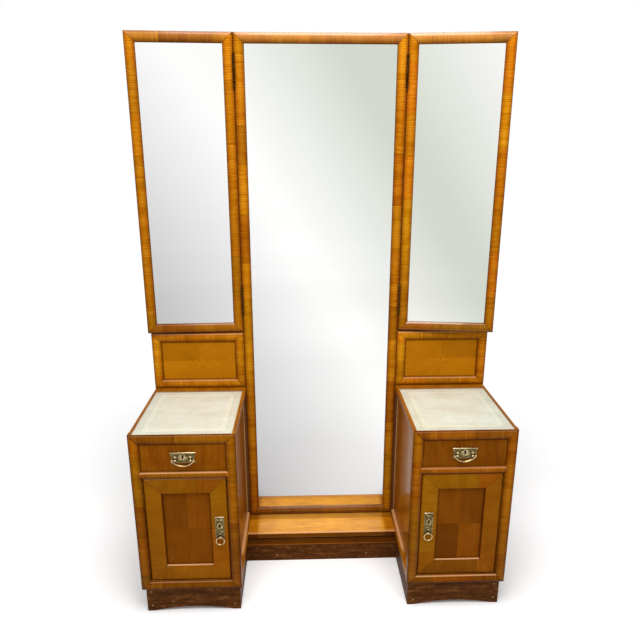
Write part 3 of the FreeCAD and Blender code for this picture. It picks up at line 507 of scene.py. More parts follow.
def plain_wood(name, run, light=SOFTWOOD, dark=DARK_SOFTWOOD, coarse=1.0, stained=None):
    """Bare or thinly oiled timber with its grain along X (0), Y (1) or Z (2). Where the front shows beside
    a carcase, outside the width (middle, half) and before the back at y, it is stained to match."""
    made, paint, place = finish_called(name)
    fibre = place[run]
    first, second = (place[axis] for axis in range(3) if axis != run)
    bands = noise(paint, fibre * 2.2 * coarse, first * 55 * coarse, second * 55 * coarse, 3.0)
    pores = noise(paint, fibre * 30, first * 900, second * 900, 2.0)
    stains = noise(paint, fibre * 6, first * 9, second * 9, 3.0)
    figure = bands * 0.6 + pores * 0.25 + stains * 0.25 - 0.05
    colour = figure.ramp((0.32, dark), (0.68, light))
    if stained:
        middle, half, back = stained
        shown = (abs(abs(place[0]) - middle) > half) * (place[1] < back)
        colour = (shown * 0.93).mix(colour, stain(92, 46, 4))
    surface(paint, Base_Color=colour, Roughness=pores * 0.15 + 0.6, Normal=relief(paint, pores, 0.2, 0.0004),
            Specular_Ior_Level=0.2)
    return made


# Tints of the painted reflection in the centre glass.
centre_shades = ((0.03, SOFT_GREY), (0.30, MIDDLE_GREY), (0.53, BRIGHT), (0.59, BRIGHT), (0.90, PALE_GREEN))
dress("centre_mirror_glass",
      silvering("centre_silvering", *spans(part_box("centre_mirror_glass")), 1.0, centre_shades,
                (0.61, 1.44, 0.14, 0.55), clear_foot=0.034, warp=0.068))
upright_board = plain_wood("backboard_softwood", 2)
dress("centre_mirror_backboard", upright_board)


# Wing mirrors. Two narrower frames of the same moulding, each with its own glass and backing board, hung
# on the centre frame and left a little open: the left one hardly, the right one by a few degrees more.
WING_GAP = 0.0007
WING_WIDTH = 0.325
WING_CREST = 0.001
WINGS = (("left", -1, math.radians(2.3)), ("right", 1, math.radians(-6.9)))
# How strongly each wing's rails take painted highlights and the coat, the wing's tone, and the tone to which
# its foot rail is painted darker as shade.
WING_LIT = {"left": 0.4, "right": 0.9}
WING_TONE = {"left": 0.65, "right": 0.74}
WING_FOOT_TONE = 0.54
# The painted reflection in each wing's glass: how its tints lean across the sheet, the tints, and its painted
# shade towards the foot.
WING_LEAN = {"left": 1.6, "right": 1.8}
WING_SHADES = {
    "left": ((0.06, stain(192, 192, 191)), (0.5, stain(231, 231, 231)), (0.82, BRIGHT),
             (1.0, stain(250, 250, 246))),
    "right": ((0.1, stain(237, 237, 230)), (0.40, PALE_GREEN), (0.5, PALE_GREEN),
              (1.0, stain(247, 247, 244))),
}
WING_REFLECTION_SHADE = (0.3, 0.6, 1.0, 0.0)


def inside(span, margin):
    return span[0] + margin, span[1] - margin


def set_down(piece, place, turn=0.0):
    """Moves a new piece to its place, turned about Z."""
    take_up([piece])
    piece.location = place
    piece.rotation_euler.z = turn
    bpy.ops.object.transform_apply(location=True, rotation=True, scale=True)


hinge_places = {joint["name"]: joint["pos_m"] for joint in frame["joints"] if "pos_m" in joint}
hinges = {side: (*hinge_places[f"wing_hinge_{side}"][:2], 0.0) for side, _, _ in WINGS}
for side, hand, swing in WINGS:
    wing_z = spans(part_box(f"wing_frame_{side}"))[1]
    wing_x = tuple(sorted((hand * WING_GAP, hand * (WING_GAP + WING_WIDTH))))
    wing = mitred_frame(f"wing_frame_moulded_{side}", wing_x, wing_z, WING_CREST)
    set_down(wing, hinges[side], swing)
    lit = WING_LIT[side]
    tone = WING_TONE[side]
    # Painted highlights along the rails and a foot rail painted darker as shade, as set above.
    wing_veneer = banded_veneer(
        f"wing_veneer_{side}", wing_x, wing_z, WING_CREST, hinges[side], swing, seed=20.0 + 6 * hand,
        tone=tone, highlight=0.4 * lit, drop=TOP_DROP, foot_rail=WING_FOOT_TONE / tone, coat=lit)
    stand_for(wing, f"wing_frame_{side}", f"wing_{side}", wing_veneer)
    sheet_x = inside(wing_x, MOULD_WIDTH - GLASS_REBATE)
    sheet_z = spans(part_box(f"wing_glass_{side}"))[1]
    dress(f"wing_glass_{side}",
          silvering(f"wing_silvering_{side}", sheet_x, sheet_z, WING_LEAN[side], WING_SHADES[side],
                    WING_REFLECTION_SHADE, centre=hinges[side], turn=swing))
    dress(f"wing_backboard_{side}", upright_board)


# Baize strips. Thin brown cloth glued along the hinged edge of each wing, and a narrower strip on the edge
# of the centre frame before it, clear of the hinges, so that no light shows between the frames.
# The strips, and the baize on the backsplashes, are dark cloth put into gaps that show only shade.
LEAF_LENGTH = 0.100
BAIZE_MARGIN = 0.0004
WING_BAIZE_THICK = {"left": 0.0009, "right": 0.0012}
WING_BAIZE_Y = (0.0115, 0.0200)
WING_BAIZE_EDGE = 0.00015
CENTRE_BAIZE_THICK = 0.0005
CENTRE_BAIZE_EDGE = 0.0001
CENTRE_BAIZE_Y = (mirror_crest + 0.0053, mirror_crest + 0.0095)


def block(low, high):
    """A plain block between two corners, to cut with or to shape."""
    return primitive(bpy.ops.mesh.primitive_cube_add, [b - a for a, b in zip(low, high)], size=1,
                     location=[(a + b) / 2 for a, b in zip(low, high)])


def baize_strip(name, x_span, y_span, softening):
    """Cloth on the edge of a frame, in lengths between the hinges."""
    lengths = [block((x_span[0], y_span[0], low), (x_span[1], y_span[1], high)) for low, high in stretches]
    strip = glued(name, lengths, softening)
    strip.data.materials.append(baize)
    return strip


baize, paint, (x, y, z) = finish_called("dark_baize")
nap = noise(paint, x * 1500, y * 1500, z * 1500, 3.0)
surface(paint, Base_Color=nap.ramp((0.35, stain(126, 62, 18)), (0.65, stain(172, 94, 32))),
        Roughness=nap * 0.1 + 0.85, Normal=relief(paint, nap, 0.5), Specular_Ior_Level=0.1)
leaf_low, leaf_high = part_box("wing_hinge_fixed_leaves")
stretches = (
    (wing_z[0] + BAIZE_MARGIN, leaf_low.z - BAIZE_MARGIN),
    (leaf_low.z + LEAF_LENGTH + BAIZE_MARGIN, leaf_high.z - LEAF_LENGTH - BAIZE_MARGIN),
    (leaf_high.z + BAIZE_MARGIN, wing_z[1] - BAIZE_MARGIN),
)
for side, hand, swing in WINGS:
    across = sorted((hand * WING_GAP, hand * (WING_GAP - WING_BAIZE_THICK[side])))
    strip = baize_strip(f"wing_baize_{side}", across, WING_BAIZE_Y, WING_BAIZE_EDGE)
    set_down(strip, hinges[side], swing)
    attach(strip, f"wing_{side}")
    edge = hand * centre_x[1]
    across = sorted((edge, edge + hand * CENTRE_BAIZE_THICK))
    strip = baize_strip(f"centre_baize_{side}", across, CENTRE_BAIZE_Y, CENTRE_BAIZE_EDGE)
    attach(strip, "table")


# Wing hinges. Long brass lift-off hinges let into the edges of the frames: the lower knuckle carries the
# pin, the upper one drops over it. The brass has gone dark brown, and is rubbed bright on the barrel.
def old_brass(name, dark, bright, rough, wear):
    made, paint, (x, y, z) = finish_called(name)
    blotches = noise(paint, x * 160, y * 160, z * 160, 4.0)
    scratches = noise(paint, x * 900, y * 900, z * 120, 2.0)
    wear_and_highlight = blotches * 0.65 + scratches * 0.35 + wear
    surface(paint, Base_Color=wear_and_highlight.ramp((0.35, dark), (0.62, bright)), Metallic=1.0,
            Roughness=rough + 0.18 * blotches, Normal=relief(paint, scratches, 0.15))
    return made


hinge_brass = old_brass("hinge_brass_dark", stain(36, 20, 6), stain(104, 66, 26), 0.3, -0.03)
for node in ("wing_hinge_fixed_leaves", "wing_hinge_leaves_left", "wing_hinge_leaves_right"):
    dress(node, hinge_brass)


# Shelf and apron. A board with a rounded nose bridges the pedestals at the foot of the centre mirror, and
# a narrow apron closes the gap below it; both are veneered with the grain running along them.
# Sizes of the painted light, shade and highlights on the shelf, the apron and the base rails.
LIT_MIDDLE_HALF = 0.238
LIT_MIDDLE_FADE = 0.012
NOSE_DROP = 0.0006
NOSE_FADE = 0.0012
UNLIT_REACH = 0.028
EDGE_HIGHLIGHT_REACH = 0.011
SHELF_FADE = 0.004
APRON_LIP = 0.0032
ARRIS_START = -0.075
ARRIS_FADE = 0.03


def straight_veneer(name, fibre_axis, spread_axis, seed, value=1.0, joints=None, figure=1.0, hue=0.5,
                    gloss=0.05, sheen=SHELLAC, slot=None, arris=None):
    """Plain sheets of veneer with their fibres along one axis; joints is (axis, sheet width). Above the
    height arris a painted highlight makes it pale, but not at the front."""
    made, paint, place = finish_called(name)
    depth_axis = 3 - fibre_axis - spread_axis
    shade = value
    turn = seed + place[depth_axis] * 40
    if joints:
        axis, sheet = joints
        chance = strip_chance(paint, place[axis] / sheet + seed)
        shade = chance * (0.24 * value) + 0.88 * value
        turn = turn + chance * 17
    # Painted shadow: the key slot is painted black.
    if slot:
        shade = (1 - key_slot(place[0], place[2], slot)) * shade
    wear_and_highlight = None
    # Painted highlight above the arris, fading out towards the front.
    if arris:
        behind = ((place[1] - ARRIS_START) / ARRIS_FADE).held()
        wear_and_highlight = ((place[2] - arris) / NOSE_FADE).held() * behind * 0.75
    polished_wood(paint, place[fibre_axis], place[spread_axis], turn, shade, hue, figure, 0.0, gloss, sheen,
                  wear_and_highlight)
    return made


shelf_low, shelf_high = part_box("centre_shelf")
shelf_veneer, paint, (x, y, z) = finish_called("shelf_veneer")
# Painted light and shade on the shelf: paler and yellower in the middle between the pedestals, darker and
# redder on the nose, darker near the mirror, with a painted highlight along the front edge.
lit_middle = ((LIT_MIDDLE_HALF - abs(x)) / LIT_MIDDLE_FADE).held()
nose = ((shelf_high.z - NOSE_DROP - z) / NOSE_FADE).held()
unlit = ((y - (mirror_crest - UNLIT_REACH)) / SHELF_FADE).held()
front_edge = ((shelf_low.y + EDGE_HIGHLIGHT_REACH - y) / SHELF_FADE).held() * (1 - nose)
value = (lit_middle * 0.45 + 0.85) * (1 - nose * 0.8) * (1 - unlit * 0.4)
polished_wood(paint, x, y, z * 40 + 4.0, value, lit_middle * 0.014 + 0.498 - nose * 0.02, 0.9,
              wear_and_highlight=front_edge * 0.5 + lit_middle * (1 - nose) * 0.14)
surface(paint, Coat_Weight=(1 - nose) * 0.8, Coat_Roughness=0.12)
dress("centre_shelf", shelf_veneer)

apron_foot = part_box("shelf_apron")[0].z
apron_veneer, paint, (x, y, z) = finish_called("apron_veneer")
# Painted shade and highlight on the apron: darker towards its top, under the shelf's nose, with a pale line
# along its foot.
lip = ((apron_foot + APRON_LIP - z) / NOSE_FADE).held()
polished_wood(paint, x, z, y * 40 + 9.0, (z - apron_foot) * -2.6 + lip * 0.3 + 0.22, 0.486, 1.0, gloss=0.06)
dress("shelf_apron", apron_veneer)


# Plinths. Dark stained beech boards, set back under the pedestals with a low arch cut in the front ones,
# and one straight board under the shelf; scuffed by feet and brooms.
TOP_HIGHLIGHT_DEPTH = 0.0028


def scuffed_stain(name, arris):
    """Dark stain, scuffed here and there, and painted pale above the height arris as a highlight."""
    made, paint, (x, y, z) = finish_called(name)
    grain = noise(paint, x * 9 + y * 9, z * 70, y * 60, 4.0)
    fleck = noise(paint, x * 60 + y * 60, z * 400, y * 300, 2.0)
    scuffs = noise(paint, x * 45, y * 45, z * 70, 5.0, 0.7)
    figure = (grain * 0.4 + fleck * 0.25 + scuffs * 0.35 - 0.5) * 1.3 + 0.48
    brown = figure.ramp((0.30, stain(44, 22, 8)), (0.5, stain(84, 45, 16)), (0.72, stain(130, 80, 40)))
    # Scuffs, and a painted highlight along the top, above the arris.
    wear_and_glint = ((scuffs - 0.62) * 7).held(0.55).most((z > arris) * scuffs * 1.3)
    surface(paint, Base_Color=wear_and_glint.mix(brown, stain(140, 96, 66)), Roughness=scuffs * 0.3 + 0.36,
            Normal=relief(paint, fleck + scuffs, 0.25, 0.0005), Specular_Ior_Level=0.08,
            Specular_Tint=SHELLAC)
    return made


plinth_low, plinth_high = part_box("pedestal_plinths")
straight_low, straight_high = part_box("centre_plinth")
dress("centre_plinth", scuffed_stain("straight_plinth_stain", straight_high.z - TOP_HIGHLIGHT_DEPTH))
dress("pedestal_plinths", scuffed_stain("plinth_stain", plinth_high.z))


# Plinth nails. Small domed steel heads, three in each arched board and two through the straight one; they
# have stayed brighter than the stain.
NAIL_RADIUS = 0.0028
NAIL_RISE = 0.0014
NAIL_ROOT = 0.001
NAIL_TAPER = 0.5
WIRE_EDGE = 0.0001
NAIL_X = (plinth_high.x - 0.285, plinth_high.x - 0.016)
NAIL_Z = (0.020, 0.074)
STRAIGHT_NAIL = (0.165, 0.024)


def copied(piece, name, shift):
    """A copy of a piece, with its own mesh, moved."""
    twin = piece.copy()
    twin.data = piece.data.copy()
    twin.name = name
    twin.data.name = name
    bpy.context.collection.objects.link(twin)
    set_down(twin, shift)
    return twin


def filed_steel(name, dull, bright):
    made, paint, (x, y, z) = finish_called(name)
    marks = noise(paint, x * 1200, y * 1200, z * 140, 2.0)
    rust = noise(paint, x * 120, y * 120, z * 120, 4.0)
    spots = ((rust - 0.58) * 6).held(0.7)
    grey = marks.ramp((0.35, dull), (0.65, bright))
    surface(paint, Base_Color=spots.mix(grey, stain(104, 66, 42)), Metallic=1 - spots * 0.8,
            Roughness=rust * 0.3 + 0.24, Normal=relief(paint, marks, 0.15))
    return made


nail_steel = filed_steel("nail_steel", stain(118, 96, 72), stain(182, 156, 124))
begin(bpy.ops.mesh.primitive_uv_sphere_add, segments=20, ring_count=12, radius=NAIL_RADIUS,
      location=(0, 0, 0), rotation=FACING_FRONT)
saw((0, 0, 0), (0, 1, 0), "outer")
pick_all()
squeeze((1, NAIL_RISE / NAIL_RADIUS, 1), (0, 0, 0))
pick(lambda place: place.y > -HAIR)
pull_out((0, NAIL_ROOT, 0))
squeeze((NAIL_TAPER, 1, NAIL_TAPER), (0, 0, 0))
nail = glued("plinth_nail", [end()], WIRE_EDGE)
nail.data.materials.append(nail_steel)
corners = ((NAIL_X[0], NAIL_Z[0]), (NAIL_X[1], NAIL_Z[0]), (NAIL_X[1], NAIL_Z[1]))
nail_places = [(hand * x, plinth_low.y, z) for hand in (-1, 1) for x, z in corners]
nail_places += [(hand * STRAIGHT_NAIL[0], straight_low.y, STRAIGHT_NAIL[1]) for hand in (-1, 1)]
for index, place in enumerate(nail_places):
    head = copied(nail, f"plinth_nail_{index + 1}", place)
    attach(head, "table")
bpy.data.objects.remove(nail, do_unlink=True)


# Backsplashes. A low mitred frame of the same moulding stands on the back of each pedestal top, round a
# panel of four quarter-matched veneers with a small lozenge laid in where they meet, with baize on top.
RECESS_SHADE_REACH = 0.0045
LOZENGE = 0.012
LOZENGE_LINE = 0.0016
TOP_BAIZE_INSET = (0.0003, 0.0005)
TOP_BAIZE_DEPTH = 0.0105
TOP_BAIZE_Z = (-0.0002, 0.0024)
TOP_BAIZE_EDGE = 0.0002


def quartered_veneer(name, seed, span, slope, tones, lozenge, back, hue=0.5, figure=0.6):
    """Four matched sheets meeting at the middle of a panel; each side's panel mirrors the other. Span is
    the part that shows, painted darker along its edge as the shade of the recess."""
    made, paint, (x, y, z) = finish_called(name)
    (left, right), (bottom, top) = span
    across = abs(x) - (left + right) / 2
    up = z - (bottom + top) / 2
    out = abs(across)
    rise = abs(up)
    outer = across > 0
    upper = up > 0
    fibre = out * math.cos(slope) + rise * math.sin(slope)
    spread = rise * math.cos(slope) - out * math.sin(slope)
    bottom_left, bottom_right, top_left, top_right = tones
    lower_tone = outer * (bottom_right - bottom_left) + bottom_left
    upper_tone = outer * (top_right - top_left) + top_left
    tone = lower_tone + upper * (upper_tone - lower_tone)
    seam = (out < SEAM).most(rise < SEAM)
    from_edge = ((right - left) / 2 - out).least((top - bottom) / 2 - rise)
    # Painted shade along the edge of the sunk panel.
    recess_shade = ((RECESS_SHADE_REACH - from_edge) / RECESS_SHADE_REACH).held()
    value = (tone - seam * 0.06) * (1 - recess_shade * 0.7)
    if lozenge:
        line = abs(out + rise - lozenge) < LOZENGE_LINE
        value = value + line * 0.3 - (out + rise < lozenge) * 0.06
    turn = seed + outer * 3.0 + upper * 7.0 + (x > 0) * 11.0
    polished_wood(paint, fibre, spread, turn, value, hue, figure, bare=y > back - BARE_SKIN)
    return made


for side in ("left", "right"):
    low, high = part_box(f"backsplash_frame_{side}")
    x_span, z_span = spans((low, high))
    backsplash = mitred_frame(f"backsplash_frame_moulded_{side}", x_span, z_span, mirror_crest)
    splash_veneer = banded_veneer(f"backsplash_veneer_{side}", x_span, z_span, mirror_crest,
                                  seed=40 + 11 * low.x, strip=0.13, tone=0.86)
    stand_for(backsplash, f"backsplash_frame_{side}", "table", splash_veneer)
    # The dark baize on top is put where the gap below the wing shows only shade.
    rest_x = inside(x_span, TOP_BAIZE_INSET[0])
    rest = block((rest_x[0], high.y - TOP_BAIZE_DEPTH, high.z + TOP_BAIZE_Z[0]),
                 (rest_x[1], high.y - TOP_BAIZE_INSET[1], high.z + TOP_BAIZE_Z[1]))
    rest = glued(f"backsplash_baize_{side}", [rest], TOP_BAIZE_EDGE)
    rest.data.materials.append(baize)
    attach(rest, "table")
panel_span = (inside(x_span, MOULD_WIDTH), inside(z_span, MOULD_WIDTH))
dress("backsplash_panels",
      quartered_veneer("backsplash_quarters", 51.0, panel_span, math.radians(32), (0.75, 0.79, 0.71, 0.62),
                       LOZENGE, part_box("backsplash_panels")[1].y, 0.5, 0.35))


# Pedestal fronts. Five lengths of cushion moulding make each front frame: two uprights, a top and a bottom
# rail mitred to them, and a narrower cross rail whose pointed ends are let into the uprights.
FACE_DEPTH = 0.026
CROSS_RAIL = 0.024
DRAWER_GAP = 0.001
RIM = 0.009
INSET_DEPTH = 0.005
CLEAR = 0.1
FRONT_TONE = 0.52
# Strengths of the painted highlights along the rails of each front frame and cross rail.
FRONT_HIGHLIGHT = {"left": 0.3, "right": 0.75}
CROSS_HIGHLIGHT = {"left": 0.7, "right": 0.4}


def cut_away(piece, cutter):
    """Takes the shape of one piece out of another."""
    take_up([piece])
    hollow = piece.modifiers.new("hollow", "BOOLEAN")
    hollow.operation = "DIFFERENCE"
    hollow.solver = "EXACT"
    hollow.object = cutter
    bpy.ops.object.modifier_apply(modifier=hollow.name)
    bpy.data.objects.remove(cutter, do_unlink=True)


rail_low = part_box("drawer_front_left")[0].z - DRAWER_GAP - CROSS_RAIL
for side in ("left", "right"):
    low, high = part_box(f"pedestal_face_{side}")
    x_span, z_span = spans((low, high))
    crest = low.y
    top_rail = moulding(0, x_span, z_span[1], -1, crest, FACE_DEPTH)
    bed_x = inside(x_span, RIM)
    cut_away(top_rail, block((bed_x[0], crest + RIM, high.z - INSET_DEPTH),
                             (bed_x[1], crest + CLEAR, high.z + CLEAR)))
    members = [
        moulding(2, z_span, x_span[0], 1, crest, FACE_DEPTH),
        moulding(2, z_span, x_span[1], -1, crest, FACE_DEPTH),
        moulding(0, x_span, z_span[0], 1, crest, FACE_DEPTH),
        top_rail,
    ]
    # Painted shade darker towards the foot, and painted highlights along the rails, fainter on the top rail.
    face_veneer = banded_veneer(
        f"front_veneer_{side}", x_span, z_span, crest, seed=60 + 9 * low.x, strip=0.14, tone=FRONT_TONE,
        foot_tone=0.38, hue=0.497, rail_hue=-0.006, highlight=FRONT_HIGHLIGHT[side], top_highlight=0.15, depth=FACE_DEPTH)
    for member in members:
        member.data.materials.append(face_veneer)
    points = moulding(0, inside(x_span, MOULD_WIDTH - CROSS_RAIL / 2), rail_low, 1, crest, FACE_DEPTH,
                      CROSS_RAIL, pointed=True)
    # The cross rail takes a painted highlight along its top edge.
    # The spans of the cross rail's veneer reach far past it, so that all of it counts as one foot rail.
    points.data.materials.append(banded_veneer(
        f"cross_rail_veneer_{side}", inside(x_span, -1), (rail_low, rail_low + 2), crest, seed=70 + low.x,
        strip=0.2, tone=FRONT_TONE, hue=0.490, width=CROSS_RAIL, reach=0.008, highlight=CROSS_HIGHLIGHT[side],
        depth=FACE_DEPTH))
    face = glued(f"pedestal_front_{side}", members + [points])
    stand_for(face, f"pedestal_face_{side}", "table")


# Carcase. Side panels veneered up and down stand back behind the front frames over a cushion base rail;
# backs, floors, dust boards, runners, shelves, bearers and stops are plain softwood and beech.
PEDESTAL_X = 0.4275
BACK_SHOWN = (PEDESTAL_X, 0.1500, 0.1895)
RAIL_ARRIS = 0.0024
BEECH = stain(204, 164, 118)
DARK_BEECH = stain(172, 128, 84)
BEECH_COARSE = 1.6
side_veneer = straight_veneer("side_veneer", 2, 1, 81.0, 0.54, (1, 0.21), 0.7, 0.496, 0.08, AMBER)
surface(Wire(side_veneer.node_tree), Coat_Weight=0.32, Coat_Roughness=0.13, Coat_Tint=AMBER)
dress("pedestal_side_panels", side_veneer)
rail_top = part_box("pedestal_base_rails")[1].z
# The base rails take a painted highlight along their top.
dress("pedestal_base_rails",
      straight_veneer("base_rail_veneer", 2, 1, 88.0, 0.6, (1, 0.13), 1.0, 0.496, 0.13, AMBER,
                      arris=rail_top - RAIL_ARRIS))
dress("pedestal_backs", plain_wood("pedestal_back_board", 2, stained=BACK_SHOWN))
across_board = plain_wood("carcase_board", 0)
for node in ("pedestal_bottoms", "drawer_dividers", "cupboard_shelves"):
    dress(node, across_board)
beech_rail = plain_wood("beech_rail", 1, BEECH, DARK_BEECH, BEECH_COARSE)
for node in ("drawer_runners", "shelf_bearers"):
    dress(node, beech_rail)
dress("door_stops", plain_wood("beech_stop", 2, BEECH, DARK_BEECH, BEECH_COARSE))


# Pedestal tops. A veneered board with a narrow rim; a sheet of cream hide, tooled round the edge with fine
# lines and a row of small rings, is glued into the sunk middle and kept clean by a loose sheet of glass.
HIDE_HALF = (0.1507, 0.16325)
HIDE_MIDDLE = (PEDESTAL_X, -0.018)
BRIGHT_LINES = ((0.0285, 0.010, 0.0009), (0.0345, 0.010, 0.0011), (0.0045, 0.003, 0.0008))
DARK_LINE = (0.0315, 0.010, 0.0009)
RING_STEP = 0.0102
RING_ROWS = (0.0100, 0.0205)
RING_RADIUS = 0.0034
RING_LINE = 0.0009
SOIL_REACH = 0.006


def tooled_hide(name):
    """Cream hide with pressed lines, each given by its inset, the radius of its corners and its width."""
    made, paint, (x, y, _) = finish_called(name)
    across = abs(abs(x) - HIDE_MIDDLE[0])
    along = abs(y - HIDE_MIDDLE[1])

    def line(inset, corner, width):
        out = (across - (HIDE_HALF[0] - inset - corner)).most(0.0)
        far = (along - (HIDE_HALF[1] - inset - corner)).most(0.0)
        return abs(paint.maths("SQRT", out * out + far * far) - corner) < width

    from_side = HIDE_HALF[0] - across
    from_end = HIDE_HALF[1] - along
    by_side = from_side < from_end
    inset = from_side.least(from_end)
    walk = along * by_side + across * (1 - by_side)
    step = paint.maths("FRACT", walk / RING_STEP) - 0.5
    shadow = line(*DARK_LINE)
    for row in RING_ROWS:
        far = inset - row
        ring = paint.maths("SQRT", step * step * RING_STEP ** 2 + far * far)
        shadow = shadow.most(abs(ring - RING_RADIUS) < RING_LINE)
    lines = line(*BRIGHT_LINES[0]).most(line(*BRIGHT_LINES[1])).most(line(*BRIGHT_LINES[2]))
    pebble = noise(paint, x * 520, y * 520, 3.0, 4.0)
    clouds = noise(paint, x * 9, y * 16, 5.0, 4.0)
    stains = noise(paint, x * 34, y * 34, 8.0, 4.0)
    cream = (clouds * 0.7 + stains * 0.3).ramp((0.34, stain(202, 197, 176)), (0.5, stain(212, 211, 194)),
                                               (0.66, stain(220, 222, 209)))
    cream = (pebble * 0.16).mix(cream, stain(176, 166, 136))
    cream = (shadow * 0.3).mix(cream, stain(150, 146, 112))
    cream = (lines * 0.8).mix(cream, stain(244, 238, 208))
    soil = ((SOIL_REACH - inset) * 160).held(0.6)
    bump = relief(paint, pebble * 0.5 - lines.most(shadow) * 0.6, 0.35, 0.0005)
    surface(paint, Base_Color=soil.mix(cream, stain(158, 128, 84)), Roughness=pebble * 0.2 + 0.4, Normal=bump,
            Specular_Ior_Level=0.3, Coat_Weight=1.0, Coat_Roughness=0.02)
    return made


for side in ("left", "right"):
    seed = 95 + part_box(f"top_board_{side}")[0].x
    dress(f"top_board_{side}", straight_veneer(f"top_veneer_{side}", 1, 0, seed, 0.5, hue=0.495))
dress("top_leathers", tooled_hide("tooled_hide"))
sheet, paint, (x, y, z) = finish_called("cover_sheet")
smears = noise(paint, x * 14, y * 22, z, 4.0)
surface(paint, Base_Color=smears.ramp((0.4, stain(226, 240, 232)), (0.6, stain(236, 244, 240))),
        Alpha=smears * 0.06 + 0.02, Roughness=smears * 0.1, Specular_Ior_Level=0.6)
dress("top_glasses", sheet)


# Drawers. A veneered front with the grain upright, lapped to plain beech sides, back and bottom; the key
# slot through the front is painted black, as the shadow in it.
PULL_X = PEDESTAL_X
PULL_KEY = 0.5745
KEY_CUT_DROP = 0.009
for side, seed, tone in (("left", 101.0, 0.38), ("right", 107.0, 0.325)):
    dress(f"drawer_front_{side}",
          straight_veneer(f"drawer_veneer_{side}", 2, 0, seed, tone, (0, 0.11), 1.0, 0.488,
                          slot=(PULL_X, PULL_KEY, KEY_CUT_DROP)))
    dress(f"drawer_box_{side}", beech_rail)


# Drawer pulls. A cast back plate with a rolled top edge and hollowed sides, an oval boss round the
# keyhole and a round stud each side, pinned to the front; the bail hangs in two eyes below the studs.
PLATE_FRONT = -0.1855
PLATE_THICK = 0.002
FIELD_SINK = 0.0007
PATINA_DEPTH = 0.00035
PROUD_DEPTH = 0.0023
LIP_RADIUS = 0.0018
BOSS_SUNK = 0.0006
BOSS_RISE = 0.0019
BOSS_STEPS = ((0.05, 0.0005), (0.04, -0.0004), (0.05, 0.0002))
BEAD_END = (0.3, 0.6)
BALL_SUNK = 0.45
COLLAR_STEP = 0.0002
COLLAR_SPREAD = 1.45
COLLAR_DEPTH = 0.0014
EYE_RIMS = ((0.3, 0.0), (0.12, -0.0004))
CAST_EDGE = 0.00025
DOOR_PLATE_X = 0.328
DOOR_KEY = 0.332
DOOR_LIP = 0.3598
KEY_RADIUS = 0.0028
KEY_SLOT = 0.0030
KEY_DROP = 0.0095
KEY_RIM = 0.0008
CUTTER = 0.03
PULL_Z = (0.551, 0.585)
PULL_LIP = 0.5841
PULL_WIDTH = 0.077
PULL_RIM = 0.0018
PULL_WAISTS = (0.97, 0.93, 0.90, 0.89, 0.90, 0.94, 1.0)
PULL_BOSS = (0.570, 0.027, 0.0225)
PULL_STUD = (0.023, PLATE_FRONT - 0.0022, 0.5705)
PULL_PIN = (0.0335, PLATE_FRONT - 0.0004, 0.5795)
STUD_SIZE = (0.0037, 0.9)
PIN_SIZE = (0.0012, 0.7)
BAIL_EYE = (0.0034, 0.004)
BAIL_Y = -0.1886
BAIL_Z = 0.560
BAIL_SPAN = 0.033
BAIL_DROP = 0.019
BAIL_WIRE = 0.0024
TIP_RADIUS = 0.0028
TIP_REACH = 0.0092
TIP_STEP = 0.0002
TIP_NECK = 0.95
FACING_SIDE = (0, math.pi / 2, 0)


def plate_brass(name):
    """Pale yellow metal, dark and dull in the sunk field and rubbed bright on what stands up; the keyholes
    are painted black, as the shadow in them, out to a thin rim round them."""
    made, paint, (x, y, z) = finish_called(name)
    blotches = noise(paint, x * 190, y * 190, z * 190, 4.0)
    scratches = noise(paint, x * 1400, y * 300, z * 1400, 2.0)
    marks = blotches * 0.6 + scratches * 0.4
    sunk = y > PLATE_FRONT + PATINA_DEPTH
    proud = y < PLATE_FRONT - PROUD_DEPTH
    for lip in (PULL_LIP, DOOR_LIP):
        proud = proud.most(abs(z - lip) < LIP_RADIUS)
    wear_and_highlight = marks - sunk * 0.12 + proud * 0.15
    colour = wear_and_highlight.ramp((0.30, stain(62, 52, 26)), (0.48, stain(130, 114, 75)), (0.66, stain(218, 195, 148)))
    # Painted shadow: the keyholes and slots are painted black, out to a thin rim.
    keyhole_shade = 0.0
    for middle, level in ((PULL_X, PULL_KEY), (DOOR_PLATE_X, DOOR_KEY)):
        out = abs(abs(x) - middle)
        up = z - level
        hole = paint.maths("SQRT", out * out + up * up) < KEY_RADIUS + KEY_RIM
        slot = (out < KEY_SLOT / 2 + KEY_RIM) * (abs(up + KEY_DROP / 2) < KEY_DROP / 2 + KEY_RIM)
        keyhole_shade = hole.most(slot).most(keyhole_shade)
    surface(paint, Base_Color=keyhole_shade.mix(colour, stain(16, 12, 8)), Metallic=1 - keyhole_shade,
            Normal=relief(paint, marks, 0.25), Roughness=sunk * 0.14 + blotches * 0.2 + keyhole_shade * 0.4 + 0.2)
    return made


def plate_blank(middle_x, bottom, top, width, waists, rim):
    """A flat casting whose rows, from bottom to top, are drawn in to the given shares of its width."""
    rows = len(waists) - 1
    begin(bpy.ops.mesh.primitive_grid_add, (width, top - bottom, 1), x_subdivisions=8, y_subdivisions=rows,
          size=1, rotation=FACING_FRONT, location=(middle_x, PLATE_FRONT + PLATE_THICK, (bottom + top) / 2))
    for row, share in enumerate(waists):
        level = bottom + (top - bottom) * row / rows
        pick(lambda place: abs(place.z - level) < HAIR)
        squeeze((share, 1, 1), (middle_x, 0, 0))
    pick_all()
    pull_out((0, -PLATE_THICK, 0))
    bpy.ops.mesh.inset(thickness=rim, depth=-FIELD_SINK)
    face_out()
    return end()


